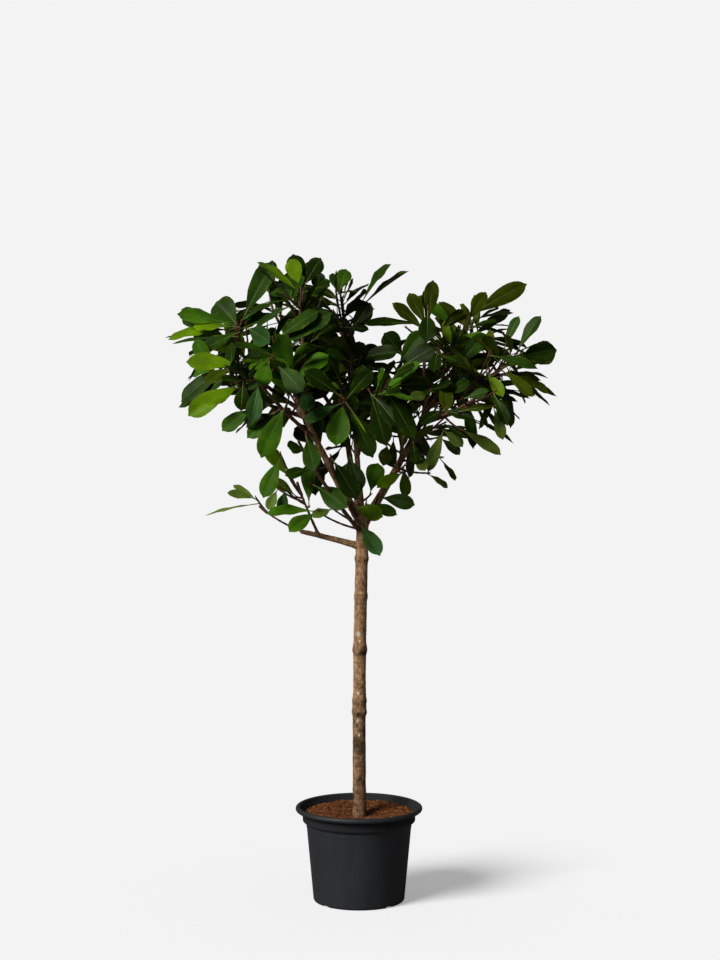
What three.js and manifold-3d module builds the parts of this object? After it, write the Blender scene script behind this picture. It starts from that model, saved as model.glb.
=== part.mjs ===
// Potted African fig: a young standard tree with a two-lobed crown, in a round nursery pot.
// Millimetres, +Z up, origin at the centre of the pot's flat underside.
import * as THREE from "three";
import { mergeVertices } from "three/addons/utils/BufferGeometryUtils.js";
import Module from "manifold-3d";

const wasm = await Module();
wasm.setup();

// Gap kept between pieces that touch, and the distance within which corners are one.
const seat = 0.3;
const weld = 1e-3;

// Finishes.
const potFinish = { color: 0x24262a, roughness: 0.45 };
const soilFinish = { color: 0x5c3a22, roughness: 1 };
const trunkFinish = { color: 0x6b4a36, roughness: 0.85 };
const boughFinish = { color: 0x68482f, roughness: 0.85 };
const leafFinish = { color: 0x234f22, roughness: 0.5 };

// Pot: a tapered tub with a stepped collar and a rolled rim.
const rimRadius = 150;
const rimRoll = 6;
const rimHeight = 220;
const rimCurl = { from: -90, to: 135, steps: 6 };
const collarRadius = 133;
const collarDraft = 1;
const collarFoot = 192;
const wallTopRadius = 124.5;
const wallTop = 185;
const footRadius = 108;
const footBevel = 4;
const wallThickness = 2.5;
const floorThickness = 4;
const potSegments = 32;
const drainNotches = { count: 4, width: 20, height: 3, depth: 12, turn: 42 };

// Soil: a plug that fills the pot to below its rim, slightly mounded between trunk and wall.
// The mound's crest and the level middle lie at shares of the collar's radius.
const soilTop = 210;
const soilMound = 2;
const soilFall = 2.5;
const soilCrest = 0.6;
const soilMiddle = 0.3;

// Trunk, measured from the soil upwards.
const forkHeight = 695;
const trunkLean = { foot: 2, waist: -3, fork: 9 };
const trunkRadius = { foot: 15.8, fork: 14.6 };
const rootFlare = { spread: 3.5, height: 22 };
const knuckles = [
  { height: 240, swell: 2.8 },
  { height: 268, swell: 1.5 },
  { height: 387, swell: 2.4 },
  { height: 515, swell: 1.4 },
  { height: 605, swell: 2.2 },
];
const knuckleWidth = 7;
const trunkSides = 10;
const trunkStep = 50;
const groundBlock = 200;

// Limbs: the thickness of each kind at its foot and tip, its sag and the foliage at its end.
const limbSides = 6;
const limbStep = 80;
const limbFewestSteps = 2;
const mainLimb = { foot: 11, tip: 5, sag: 0.06, reach: 70, shoots: 3, leaves: 6 };
const sideLimb = { foot: 5.5, tip: 3.8, sag: 0.05, reach: 64, shoots: 3, leaves: 6 };
const thinLimb = { foot: 3.6, tip: 2.8, sag: 0.05, reach: 58, shoots: 3, leaves: 6 };
const sprigLimb = { foot: 3, tip: 2.5, sag: 0.08, reach: 45, shoots: 1, leaves: 3 };
const cutLimb = { foot: 8, tip: 5.5, sag: -0.02, reach: 0, shoots: 0 };

// Each limb leaves its parent at a share of the parent's length, in degrees round from +X and
// up from level. The length runs on past its tip to the end of the stem that it carries.
const limbs = [
  { name: "low", from: "trunk", at: 0.915, turn: 188, rise: 15, length: 150, ...cutLimb },
  { name: "low_spur", from: "low", at: 0.93, turn: 187, rise: 28, length: 125, ...sprigLimb },
  { name: "low_riser", from: "low", at: 0.7, turn: 220, rise: 62, length: 145, ...thinLimb },
  { name: "left", from: "trunk", at: 0.985, turn: 220, rise: 57, length: 410, ...mainLimb },
  { name: "left_crest", from: "left", at: 0.8, turn: 140, rise: 84, length: 285, ...sideLimb },
  { name: "left_shoulder", from: "left", at: 0.9, turn: 138, rise: 28, length: 300, ...sideLimb },
  { name: "left_outer", from: "left", at: 0.86, turn: 175, rise: 20, length: 180, ...sideLimb },
  { name: "left_hem", from: "left", at: 0.7, turn: 230, rise: 35, length: 260, ...sideLimb },
  { name: "left_under", from: "trunk", at: 0.955, turn: 235, rise: 42, length: 345, ...sideLimb },
  { name: "middle", from: "trunk", at: 0.99, turn: 235, rise: 82, length: 330, ...mainLimb, foot: 8 },
  { name: "middle_crest", from: "middle", at: 0.8, turn: 100, rise: 60, length: 290, ...sideLimb },
  { name: "middle_face", from: "middle", at: 0.6, turn: 285, rise: 34, length: 270, ...sideLimb },
  { name: "throat", from: "trunk", at: 0.97, turn: 232, rise: 52, length: 195, ...thinLimb },
  { name: "right", from: "trunk", at: 0.985, turn: 15, rise: 60, length: 410, ...mainLimb },
  { name: "right_crest", from: "right", at: 0.82, turn: 265, rise: 80, length: 190, ...sideLimb },
  { name: "right_top", from: "right", at: 0.92, turn: 45, rise: 46, length: 190, ...sideLimb },
  { name: "right_outer", from: "right", at: 0.88, turn: 355, rise: 26, length: 185, ...sideLimb },
  { name: "right_hem", from: "right", at: 0.76, turn: 308, rise: 18, length: 220, ...sideLimb },
  { name: "right_under", from: "right", at: 0.5, turn: 272, rise: 22, length: 170, ...thinLimb },
  { name: "back", from: "trunk", at: 0.98, turn: 110, rise: 62, length: 405, ...mainLimb, foot: 9 },
  { name: "back_left", from: "back", at: 0.75, turn: 138, rise: 48, length: 355, ...sideLimb },
  { name: "back_right", from: "back", at: 0.8, turn: 30, rise: -10, length: 175, ...sideLimb },
];

// Foliage: a stem at each limb's tip, shoots round the stem and a whorl of leaves up each shoot.
const crownSeed = 26000;
const goldenTurn = THREE.MathUtils.degToRad(137.508);
const stemShare = 0.6;
const stemLift = 0.25;
const twigRadius = 4.8;
const twigTaper = 0.8;
const twigSides = 3;
const twigSteps = 2;

// Shoots: where the lowest stands on the stem, how far the side shoots and the leader lean out
// in degrees, how far each strays round the stem, and its length as a share of the reach.
const shootLift = 0.35;
const shootLowest = 0.35;
const sideSpread = { least: 45, more: 25 };
const leaderSpread = { least: 8, more: 20 };
const shootStray = 1.2;
const shootSpan = { least: 0.55, more: 0.45 };

// Leaves, from the young ones at a shoot's end to the old ones low down: their place along it,
// how wide they flare in degrees, how they hang, face and droop, and how their sizes vary.
const leafPlace = { young: 0.97, old: 0.3 };
const leafFlare = { young: 16, old: 82, bias: 0.8, stray: 36 };
const leafStray = 0.9;
const leafHang = { least: 0.12, more: 0.25 };
const leafFacing = { shoot: 0.5, sky: 0.55, outward: 0.5, roll: 70 };
const leafDroop = { least: 0.04, more: 0.26 };
const youngLength = 0.78;
const lengthSpread = { least: 0.85, more: 0.3 };
const widthSpread = { least: 0.88, more: 0.24 };
const leafRounds = 5;
const leafLength = 130;
const leafWidthShare = 0.54;
const leafWidest = 0.62;
const leafKeelShare = 0.03;
const petioleRadius = 1.4;
const petioleShare = 0.1;
const leafSink = 0.5;

// Room: what a leaf or twig keeps from the limbs and from the next mass's space.
const limbClearance = 2;
const spaceMargin = 1;
const beadStep = 6;
const twigChecks = 4;

// A direction steeper than this takes its side from +X, and a bend slighter than this is straight.
const steep = 0.9;
const slightBend = 1;

const up = new THREE.Vector3(0, 0, 1);
const { degToRad, lerp } = THREE.MathUtils;

// A repeatable stream of numbers from 0 to 1: a linear congruential generator of 32 bits.
function numberStream(seed) {
  const range = 2 ** 32;
  let state = (Math.imul(seed, 747796405) + 277803737) >>> 0;
  const next = () => {
    state = (Math.imul(state, 1664525) + 1013904223) >>> 0;
    return state / range;
  };
  next();
  next();
  return next;
}

// Two directions square to a given one.
function squareTo(direction) {
  const guide = Math.abs(direction.z) < steep ? up : new THREE.Vector3(1, 0, 0);
  const side = new THREE.Vector3().crossVectors(direction, guide).normalize();
  return [side, new THREE.Vector3().crossVectors(side, direction).normalize()];
}

// A direction tipped away from another by an angle, towards a place round it.
function tipped(direction, angle, around) {
  const [side, over] = squareTo(direction);
  return direction
    .clone()
    .multiplyScalar(Math.cos(angle))
    .addScaledVector(side, Math.sin(angle) * Math.cos(around))
    .addScaledVector(over, Math.sin(angle) * Math.sin(around))
    .normalize();
}

// A closed geometry as a solid that can be joined and cut.
function solidOf(geometry) {
  geometry.deleteAttribute("normal");
  geometry.deleteAttribute("uv");
  const merged = mergeVertices(geometry, weld);
  const vertProperties = merged.getAttribute("position").array;
  const triVerts = new Uint32Array(merged.index.array);
  return new wasm.Manifold(new wasm.Mesh({ numProp: 3, vertProperties, triVerts }));
}

// The largest body of a solid: loose scraps go and sealed hollows fill up.
function largestBody(solid) {
  const bodies = solid.decompose();
  return bodies.reduce((best, body) => (body.volume() > best.volume() ? body : best));
}

// A named mesh with a material of its own.
function pieceOf(name, solid, finish) {
  const made = solid.getMesh();
  const geometry = new THREE.BufferGeometry();
  geometry.setAttribute("position", new THREE.BufferAttribute(made.vertProperties, 3));
  geometry.setIndex(new THREE.BufferAttribute(made.triVerts, 1));
  geometry.computeVertexNormals();
  const mesh = new THREE.Mesh(geometry, new THREE.MeshStandardMaterial(finish));
  mesh.name = name;
  return mesh;
}

// A turned solid about Z from radius and height pairs, which run up the outside first.
function turned(profile) {
  const points = profile.map(([radius, height]) => new THREE.Vector2(radius, height));
  const geometry = new THREE.LatheGeometry(points, potSegments);
  return solidOf(geometry.rotateX(Math.PI / 2));
}

// Points round the rolled rim's section, in degrees from the outward level.
function rimArc() {
  const { from, to, steps } = rimCurl;
  const centre = rimRadius - rimRoll;
  return evenShares(steps).map((share) => {
    const angle = degToRad(lerp(from, to, share));
    return [centre + rimRoll * Math.cos(angle), rimHeight + rimRoll * Math.sin(angle)];
  });
}

function makePot() {
  const body = turned([
    [0, 0],
    [footRadius - footBevel, 0],
    [footRadius, footBevel],
    [wallTopRadius, wallTop],
    [collarRadius, collarFoot],
    [collarRadius + collarDraft, rimHeight - rimRoll],
    ...rimArc(),
    [collarRadius + collarDraft - wallThickness, rimHeight - rimRoll],
    [collarRadius - wallThickness, collarFoot],
    [wallTopRadius - wallThickness, wallTop],
    [footRadius - wallThickness, floorThickness],
    [0, floorThickness],
  ]);
  const { count, width, height, depth, turn } = drainNotches;
  let pot = body;
  for (let i = 0; i < count; i += 1) {
    const notch = new THREE.BoxGeometry(2 * depth, width, 2 * height);
    notch.translate(footRadius, 0, 0);
    notch.rotateZ(degToRad(turn + (i * 360) / count));
    pot = pot.subtract(solidOf(notch));
  }
  return pieceOf("pot", pot, potFinish);
}

function makeSoil() {
  const inset = wallThickness + seat;
  const soil = turned([
    [0, floorThickness + seat],
    [footRadius - inset, floorThickness + seat],
    [wallTopRadius - inset, wallTop],
    [collarRadius - inset, collarFoot],
    [collarRadius - inset, soilTop - soilFall],
    [soilCrest * collarRadius, soilTop + soilMound],
    [soilMiddle * collarRadius, soilTop],
    [0, soilTop],
  ]);
  return pieceOf("soil", soil, soilFinish);
}

// A round bar along a curve: each vertex of a unit cylinder moves to its share of the curve,
// at the radius there, in a frame that does not twist.
function bar(curve, sides, shares, radiusAt) {
  const geometry = new THREE.CylinderGeometry(1, 1, 1, sides, shares.length - 1);
  const chord = new THREE.Vector3().subVectors(curve.v2, curve.v0);
  const bend = new THREE.Vector3().subVectors(curve.v1, curve.v0).cross(chord);
  const bent = bend.length() > slightBend;
  const side = bent ? bend.normalize() : squareTo(chord.normalize())[0];
  const position = geometry.getAttribute("position");
  const local = new THREE.Vector3();
  for (let i = 0; i < position.count; i += 1) {
    local.fromBufferAttribute(position, i);
    const share = shares[Math.round((local.y + 0.5) * (shares.length - 1))];
    const over = new THREE.Vector3().crossVectors(side, curve.getTangent(share)).normalize();
    const placed = curve
      .getPoint(share)
      .addScaledVector(side, local.x * radiusAt(share))
      .addScaledVector(over, local.z * radiusAt(share));
    position.setXYZ(i, placed.x, placed.y, placed.z);
  }
  return solidOf(geometry);
}

function evenShares(steps) {
  return Array.from({ length: steps + 1 }, (_, i) => i / steps);
}

const trunkCurve = new THREE.QuadraticBezierCurve3(
  new THREE.Vector3(trunkLean.foot, 0, -trunkStep),
  new THREE.Vector3(trunkLean.waist, 0, (forkHeight - trunkStep) / 2),
  new THREE.Vector3(trunkLean.fork, 0, forkHeight),
);

// Trunk radius at a height above the soil: an even taper, the root flare and the old leaf rings.
function trunkRadiusAt(height) {
  const taper = lerp(trunkRadius.foot, trunkRadius.fork, height / forkHeight);
  const flare = rootFlare.spread * Math.exp(-Math.max(height, 0) / rootFlare.height);
  return knuckles.reduce((radius, { height: middle, swell }) => {
    return radius + swell * Math.exp(-(((height - middle) / knuckleWidth) ** 2));
  }, taper + flare);
}

// Rings stand closer together in the flare and at each knuckle.
function trunkShares() {
  const heights = [-trunkStep, forkHeight];
  for (let height = 0; height < forkHeight; height += trunkStep) {
    heights.push(height);
  }
  heights.push(trunkStep / 4, trunkStep / 2);
  for (const { height } of knuckles) {
    heights.push(height - knuckleWidth, height, height + knuckleWidth);
  }
  const whole = forkHeight + trunkStep;
  return heights.sort((a, b) => a - b).map((height) => (height + trunkStep) / whole);
}

function makeTrunk(extra) {
  const radiusAt = (share) => extra + trunkRadiusAt(trunkCurve.getPoint(share).z);
  const whole = bar(trunkCurve, trunkSides, trunkShares(), radiusAt);
  const ground = new THREE.BoxGeometry(groundBlock, groundBlock, groundBlock);
  ground.translate(0, 0, seat - groundBlock / 2);
  return whole.subtract(solidOf(ground));
}

// A limb's line: a foot on the parent's line, a straight reach and a sag or rise between.
function limbCurve(limb, curves) {
  const foot = curves.get(limb.from).getPoint(limb.at);
  const level = Math.cos(degToRad(limb.rise));
  const turn = degToRad(limb.turn);
  const way = new THREE.Vector3(
    level * Math.cos(turn),
    level * Math.sin(turn),
    Math.sin(degToRad(limb.rise)),
  );
  const tip = foot.clone().addScaledVector(way, limb.length - stemShare * limb.reach);
  const middle = foot.clone().add(tip).multiplyScalar(0.5);
  middle.z -= limb.sag * foot.distanceTo(tip);
  return new THREE.QuadraticBezierCurve3(foot, middle, tip);
}

function limbSolid(limb, curve, extra) {
  const steps = Math.max(limbFewestSteps, Math.round(curve.getLength() / limbStep));
  const radiusAt = (share) => extra + lerp(limb.foot, limb.tip, share);
  return bar(curve, limbSides, evenShares(steps), radiusAt);
}

// A twig that sets off one way and bends upwards.
function twigCurve(start, direction, length, lift) {
  const middle = start.clone().addScaledVector(direction, length / 2);
  const onward = direction.clone().addScaledVector(up, lift).normalize();
  const end = middle.clone().addScaledVector(onward, length / 2);
  return new THREE.QuadraticBezierCurve3(start, middle, end);
}

function twigSolid(curve, radius) {
  const radiusAt = (share) => radius * lerp(1, twigTaper, share);
  return bar(curve, twigSides, evenShares(twigSteps), radiusAt);
}

// A number between a least value and as much more as a draw gives.
function drawn({ least, more }, next) {
  return least + more * next();
}

// One leaf's place and size, from its age: old leaves stand low on the shoot and spread wide.
function leafOn(shoot, age, around, next) {
  const place = lerp(leafPlace.young, leafPlace.old, age);
  const heading = shoot.getTangent(place);
  const opened = lerp(leafFlare.young, leafFlare.old, age ** leafFlare.bias);
  const flare = degToRad(opened + leafFlare.stray * (next() - 0.5));
  const aim = tipped(heading, flare, around + leafStray * (next() - 0.5));
  aim.addScaledVector(up, -leafHang.least - leafHang.more * age * next()).normalize();
  const grownLength = leafLength * lerp(youngLength, 1, Math.sqrt(age));
  const length = grownLength * drawn(lengthSpread, next);
  const width = length * leafWidthShare * drawn(widthSpread, next);
  const root = shoot.getPoint(place);
  const outward = new THREE.Vector3(root.x, root.y, 0).normalize();
  const face = heading
    .multiplyScalar(leafFacing.shoot)
    .addScaledVector(up, leafFacing.sky)
    .addScaledVector(outward, leafFacing.outward);
  face.addScaledVector(aim, -face.dot(aim)).normalize();
  face.applyAxisAngle(aim, degToRad(leafFacing.roll) * (next() - 0.5));
  return { root, aim, face, length, width, droop: drawn(leafDroop, next) };
}

// A place on a leaf: a share of its length, a shift to one side and a depth under its face.
function leafPoint(leaf, along, aside, under) {
  const side = new THREE.Vector3().crossVectors(leaf.face, leaf.aim);
  return leaf.root
    .clone()
    .addScaledVector(leaf.aim, along * leaf.length)
    .addScaledVector(up, -leaf.droop * leaf.length * along * along)
    .addScaledVector(side, aside)
    .addScaledVector(leaf.face, -under);
}

// A leaf: a three-sided cone of two stretches, drawn out flat at its widest.
function leafSolid(leaf) {
  const rings = [
    { along: -leafSink / leaf.length, half: petioleRadius, keel: petioleRadius },
    { along: leafWidest, half: leaf.width / 2, keel: leafKeelShare * leaf.length },
    { along: 1, half: 0, keel: 0 },
  ];
  const stretches = rings.length - 1;
  const geometry = new THREE.ConeGeometry(1, 1, 3, stretches);
  const position = geometry.getAttribute("position");
  for (let i = 0; i < position.count; i += 1) {
    const x = position.getX(i);
    const z = position.getZ(i);
    const ring = rings[Math.round((position.getY(i) + 0.5) * stretches)];
    const radius = Math.hypot(x, z) || 1;
    const placed = leafPoint(leaf, ring.along, (ring.half * x) / radius, (ring.keel * z) / radius);
    position.setXYZ(i, placed.x, placed.y, placed.z);
  }
  return solidOf(geometry);
}

// The stem, shoots and leaves that a limb's tip could carry, and the heart amid the shoots' ends.
function growth(limb, curve, order) {
  const next = numberStream(crownSeed + order);
  const heading = curve.getTangent(1);
  const start = curve.getPoint(1).addScaledVector(heading, seat);
  const stem = twigCurve(start, heading, stemShare * limb.reach, stemLift);
  const shoots = [];
  for (let k = 0; k < limb.shoots; k += 1) {
    const share = lerp(shootLowest, 1, (k + 1) / limb.shoots);
    const leader = k === limb.shoots - 1;
    const spread = degToRad(drawn(leader ? leaderSpread : sideSpread, next));
    const around = k * goldenTurn + order + shootStray * next();
    const length = limb.reach * drawn(shootSpan, next);
    const direction = tipped(stem.getTangent(share), spread, around);
    const shoot = twigCurve(stem.getPoint(share), direction, length, shootLift);
    const phase = 2 * Math.PI * next();
    const leaves = [];
    for (let j = 0; j < leafRounds * limb.leaves; j += 1) {
      const age = 1 - (j % limb.leaves) / (limb.leaves - 1);
      leaves.push(leafOn(shoot, age, phase + j * goldenTurn, next));
    }
    shoots.push({ curve: shoot, leaves, room: limb.leaves });
  }
  const heart = new THREE.Vector3();
  for (const shoot of shoots) {
    heart.addScaledVector(shoot.curve.getPoint(1), 1 / shoots.length);
  }
  return { stem, shoots, heart };
}

// Whether points all lie nearer one heart than any other, by the margin.
function inOwnSpace(points, heart, hearts) {
  return hearts.every((other) => {
    if (other === heart) {
      return true;
    }
    const apart = new THREE.Vector3().subVectors(other, heart);
    const width = apart.length();
    apart.normalize();
    return points.every((point) => point.clone().sub(heart).dot(apart) < width / 2 - spaceMargin);
  });
}

// Whether points, or the leaf faces between them, stand clear of every limb and the trunk.
function clearOfLimbs(points, thickness, beads) {
  const faces = [];
  for (let i = 0; i + 2 < points.length; i += 1) {
    faces.push(new THREE.Triangle(points[i], points[i + 1], points[i + 2]));
  }
  const nearest = new THREE.Vector3();
  return beads.every(({ point, radius }) => {
    const room = radius + thickness + limbClearance;
    return faces.every((face) => face.closestPointToPoint(point, nearest).distanceTo(point) > room);
  });
}

// Whether an edge of one leaf's blade passes through the other blade.
function bladesCross(blade, other) {
  const ray = new THREE.Ray();
  const hit = new THREE.Vector3();
  const rim = [[0, 1], [0, 2], [1, 2], [1, 3], [2, 3]];
  const pierces = (from, through) =>
    rim.some(([a, b]) => {
      const length = from[a].distanceTo(from[b]);
      ray.origin.copy(from[a]);
      ray.direction.subVectors(from[b], from[a]).normalize();
      return [0, 1].some((i) => {
        const found = ray.intersectTriangle(through[i], through[i + 1], through[i + 2], false, hit);
        return found !== null && hit.distanceTo(from[a]) < length;
      });
    });
  return pierces(blade, other) || pierces(other, blade);
}

// A mass of foliage: the stem, and each shoot and leaf that keeps to its space.
function massSolid(grown, hearts, beads) {
  const { stem, shoots, heart } = grown;
  const twigBeads = (curve) => beadsAlong(curve, () => twigRadius);
  const fitting = shoots.filter(({ curve }) => {
    const line = curve.getPoints(twigChecks);
    return inOwnSpace(line, heart, hearts) && clearOfLimbs(line, twigRadius, beads);
  });
  const blades = [];
  let mass = twigSolid(stem, twigRadius);
  for (const shoot of fitting) {
    const others = fitting.filter((other) => other !== shoot).map((other) => other.curve);
    const around = beads.concat(twigBeads(stem), others.flatMap(twigBeads));
    let room = shoot.room;
    mass = mass.add(twigSolid(shoot.curve, twigRadius * twigTaper));
    for (const leaf of shoot.leaves) {
      const half = leaf.width / 2;
      const blade = [
        leafPoint(leaf, petioleShare, 0, 0),
        leafPoint(leaf, leafWidest, half, 0),
        leafPoint(leaf, leafWidest, -half, 0),
        leafPoint(leaf, 1, 0, 0),
      ];
      const thickness = leafKeelShare * leaf.length;
      const fits = inOwnSpace(blade, heart, hearts) && clearOfLimbs(blade, thickness, around);
      if (room > 0 && fits && !blades.some((other) => bladesCross(blade, other))) {
        room -= 1;
        blades.push(blade);
        mass = mass.add(leafSolid(leaf));
      }
    }
  }
  return largestBody(mass);
}

// Spheres along a line that stand for the limb's room.
function beadsAlong(curve, radiusAt) {
  const steps = Math.ceil(curve.getLength() / beadStep);
  return evenShares(steps).map((share) => ({ point: curve.getPoint(share), radius: radiusAt(share) }));
}

function makePlant() {
  const plant = new THREE.Group();
  const curves = new Map([["trunk", trunkCurve]]);
  const beads = beadsAlong(trunkCurve, (share) => trunkRadiusAt(trunkCurve.getPoint(share).z));
  const standing = [makeTrunk(seat)];
  plant.add(pieceOf("trunk", makeTrunk(0), trunkFinish));
  for (const limb of limbs) {
    const curve = limbCurve(limb, curves);
    curves.set(limb.name, curve);
    const whole = limbSolid(limb, curve, 0);
    const cut = standing.reduce((rest, other) => rest.subtract(other), whole);
    plant.add(pieceOf(`${limb.name}_bough`, largestBody(cut), boughFinish));
    standing.push(limbSolid(limb, curve, seat));
    beads.push(...beadsAlong(curve, (share) => lerp(limb.foot, limb.tip, share)));
  }
  const leafy = limbs.filter((limb) => limb.shoots > 0);
  const grown = leafy.map((limb) => growth(limb, curves.get(limb.name), limbs.indexOf(limb)));
  const hearts = grown.map(({ heart }) => heart);
  leafy.forEach((limb, i) => {
    const mass = massSolid(grown[i], hearts, beads);
    plant.add(pieceOf(`${limb.name}_foliage`, mass, leafFinish));
  });
  plant.position.z = soilTop;
  return plant;
}

const pottedFig = new THREE.Group();
pottedFig.add(makePot(), makeSoil(), makePlant());

export default pottedFig;
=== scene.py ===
import math

import bpy
import numpy as np
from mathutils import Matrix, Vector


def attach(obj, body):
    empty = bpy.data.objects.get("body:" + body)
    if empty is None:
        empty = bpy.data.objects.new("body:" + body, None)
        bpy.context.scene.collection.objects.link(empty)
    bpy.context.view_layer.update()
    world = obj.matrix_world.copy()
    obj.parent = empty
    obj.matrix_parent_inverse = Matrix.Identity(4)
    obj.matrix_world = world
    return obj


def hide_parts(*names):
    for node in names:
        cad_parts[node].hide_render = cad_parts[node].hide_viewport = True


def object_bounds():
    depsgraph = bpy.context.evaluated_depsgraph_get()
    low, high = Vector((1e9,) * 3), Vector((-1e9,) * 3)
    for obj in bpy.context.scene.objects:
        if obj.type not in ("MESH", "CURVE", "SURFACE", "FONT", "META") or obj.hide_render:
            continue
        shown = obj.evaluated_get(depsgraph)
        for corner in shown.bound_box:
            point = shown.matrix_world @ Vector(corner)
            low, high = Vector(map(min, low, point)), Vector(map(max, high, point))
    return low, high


# Potted African fig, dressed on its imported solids. Arrays are in millimetres, meshes in metres.
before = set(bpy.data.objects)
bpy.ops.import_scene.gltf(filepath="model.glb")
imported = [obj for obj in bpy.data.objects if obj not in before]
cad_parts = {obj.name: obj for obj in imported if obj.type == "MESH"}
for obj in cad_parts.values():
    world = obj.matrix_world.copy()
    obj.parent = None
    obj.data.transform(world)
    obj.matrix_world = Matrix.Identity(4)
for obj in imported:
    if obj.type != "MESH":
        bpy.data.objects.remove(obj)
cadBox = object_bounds()
print("frame loaded:", len(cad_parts), "solids")

mm = 0.001
up = np.array((0.0, 0.0, 1.0))
toFront = np.array((0.0, -1.0, 0.0))
toRight = np.array((1.0, 0.0, 0.0))
goldenTurn = math.radians(137.508)


# links wires to a node's inputs and sets plain values on them
def feed(tree, node, sockets):
    for key, value in sockets.items():
        if isinstance(value, Wire):
            tree.links.new(value.socket, node.inputs[key])
        else:
            node.inputs[key].default_value = value


class Wire:
    # one socket of a material: + - * ** and abs on it add Math nodes, and add() makes any other node
    def __init__(self, tree, socket=None):
        self.tree = tree
        self.socket = socket

    def add(self, kind, settings=None, sockets=None, out=0):
        made = self.tree.nodes.new(kind)
        for key, value in (settings or {}).items():
            setattr(made, key, value)
        feed(self.tree, made, sockets or {})
        return Wire(self.tree, made.outputs[out])

    def maths(self, operation, first, second=0.0):
        return self.add("ShaderNodeMath", {"operation": operation}, {0: first, 1: second})

    def __add__(self, other):
        return self.maths("ADD", self, other)

    def __radd__(self, other):
        return self.maths("ADD", other, self)

    def __sub__(self, other):
        return self.maths("SUBTRACT", self, other)

    def __rsub__(self, other):
        return self.maths("SUBTRACT", other, self)

    def __mul__(self, other):
        return self.maths("MULTIPLY", self, other)

    def __pow__(self, other):
        return self.maths("POWER", self, other)

    def __abs__(self):
        return self.maths("ABSOLUTE", self)

    def cosine(self):
        return self.maths("COSINE", self)

    def rises(self, low, high):
        # 0 below low, 1 above high, smooth between
        settings = {"interpolation_type": "SMOOTHSTEP"}
        sockets = {"Value": self, "From Min": low, "From Max": high}
        return self.add("ShaderNodeMapRange", settings, sockets)

    def between(self, first, second):
        # the colour that lies this share of the way from the first to the second
        return self.add("ShaderNodeMix", {"data_type": "RGBA"}, {0: self, 6: first, 7: second}, 2)

    def noise(self, place, scale, detail=3.0, roughness=0.55):
        sockets = {"Vector": place, "Scale": scale, "Detail": detail, "Roughness": roughness}
        return self.add("ShaderNodeTexNoise", {}, sockets)

    def stretched(self, place, scale):
        return self.add("ShaderNodeMapping", {}, {"Vector": place, "Scale": scale})

    def bump(self, height, strength, distance):
        sockets = {"Height": height, "Strength": strength, "Distance": distance}
        return self.add("ShaderNodeBump", {}, sockets)

    def axis(self, place, letter):
        return self.add("ShaderNodeSeparateXYZ", {}, {0: place}, letter)

    def distance(self, place):
        return self.add("ShaderNodeVectorMath", {"operation": "LENGTH"}, {0: place}, "Value")

    def mask(self, name):
        # a value that the mesh holds at its points
        return self.add("ShaderNodeAttribute", {"attribute_name": name}, out="Fac")


# a colour from 0 to 255 a channel, as light: a straight foot and a power of 2.4 above it
def paint(red, green, blue):
    shares = np.array((red, green, blue)) / 255
    light = np.where(shares < 0.04045, shares / 12.92, ((shares + 0.055) / 1.055) ** 2.4)
    return (*light.tolist(), 1.0)


# a material, a wire to build its nodes from, and the call that fills its shader's sockets
def newFinish(name):
    made = bpy.data.materials.new(name)
    made.use_nodes = True
    tree = made.node_tree
    tree.nodes.clear()
    shader = tree.nodes.new("ShaderNodeBsdfPrincipled")
    output = tree.nodes.new("ShaderNodeOutputMaterial")
    tree.links.new(shader.outputs[0], output.inputs["Surface"])

    def fill(sockets):
        feed(tree, shader, sockets)

    wire = Wire(tree)
    place = wire.add("ShaderNodeTexCoord", out="Object")
    return made, wire, place, fill


# a new object, put into the scene
def newObject(name, data):
    made = bpy.data.objects.new(name, data)
    bpy.context.scene.collection.objects.link(made)
    return made


# a mesh object from points and from arrays of faces, each array a row of corners a face
def makePiece(name, points, faceSets, finishes, slot=None, stands=(), finishOf=None, maps=None):
    mesh = bpy.data.meshes.new(name)
    corners = np.concatenate([faces.ravel() for faces in faceSets]).astype(np.int32)
    widths = np.concatenate([np.full(len(faces), faces.shape[1]) for faces in faceSets])
    starts = np.concatenate([[0], np.cumsum(widths)[:-1]]).astype(np.int32)
    mesh.vertices.add(len(points))
    mesh.vertices.foreach_set("co", (points * mm).astype(np.float32).ravel())
    mesh.loops.add(len(corners))
    mesh.loops.foreach_set("vertex_index", corners)
    mesh.polygons.add(len(starts))
    mesh.polygons.foreach_set("loop_start", starts)
    for finish in finishes:
        mesh.materials.append(finish)
    if finishOf is not None:
        mesh.polygons.foreach_set("material_index", finishOf.astype(np.int32))
    for mapName, values in (maps or {}).items():
        layer = mesh.uv_layers.new(name=mapName)
        layer.data.foreach_set("uv", values[corners].astype(np.float32).ravel())
    mesh.update(calc_edges=True)
    mesh.shade_smooth()
    piece = newObject(name, mesh)
    if slot:
        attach(piece, "root")
        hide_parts(*stands)
    print(name, len(points), "points", int((widths - 2).sum()), "triangles")
    return piece


def unit(vectors):
    return vectors / np.linalg.norm(vectors, axis=-1, keepdims=True)


def lerp(first, second, share):
    return first + (second - first) * share


# parts with their own corner numbers, put into one list of points and faces
def joined(parts):
    points = np.concatenate([part[0] for part in parts])
    shifts = np.cumsum([0] + [len(part[0]) for part in parts[:-1]])
    faceSets = [faces + shift for (_, sets), shift in zip(parts, shifts) for faces in sets]
    return points, faceSets


# angles round a ring, in equal steps
def roundAngles(count):
    return np.arange(count) * 2 * math.pi / count


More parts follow.
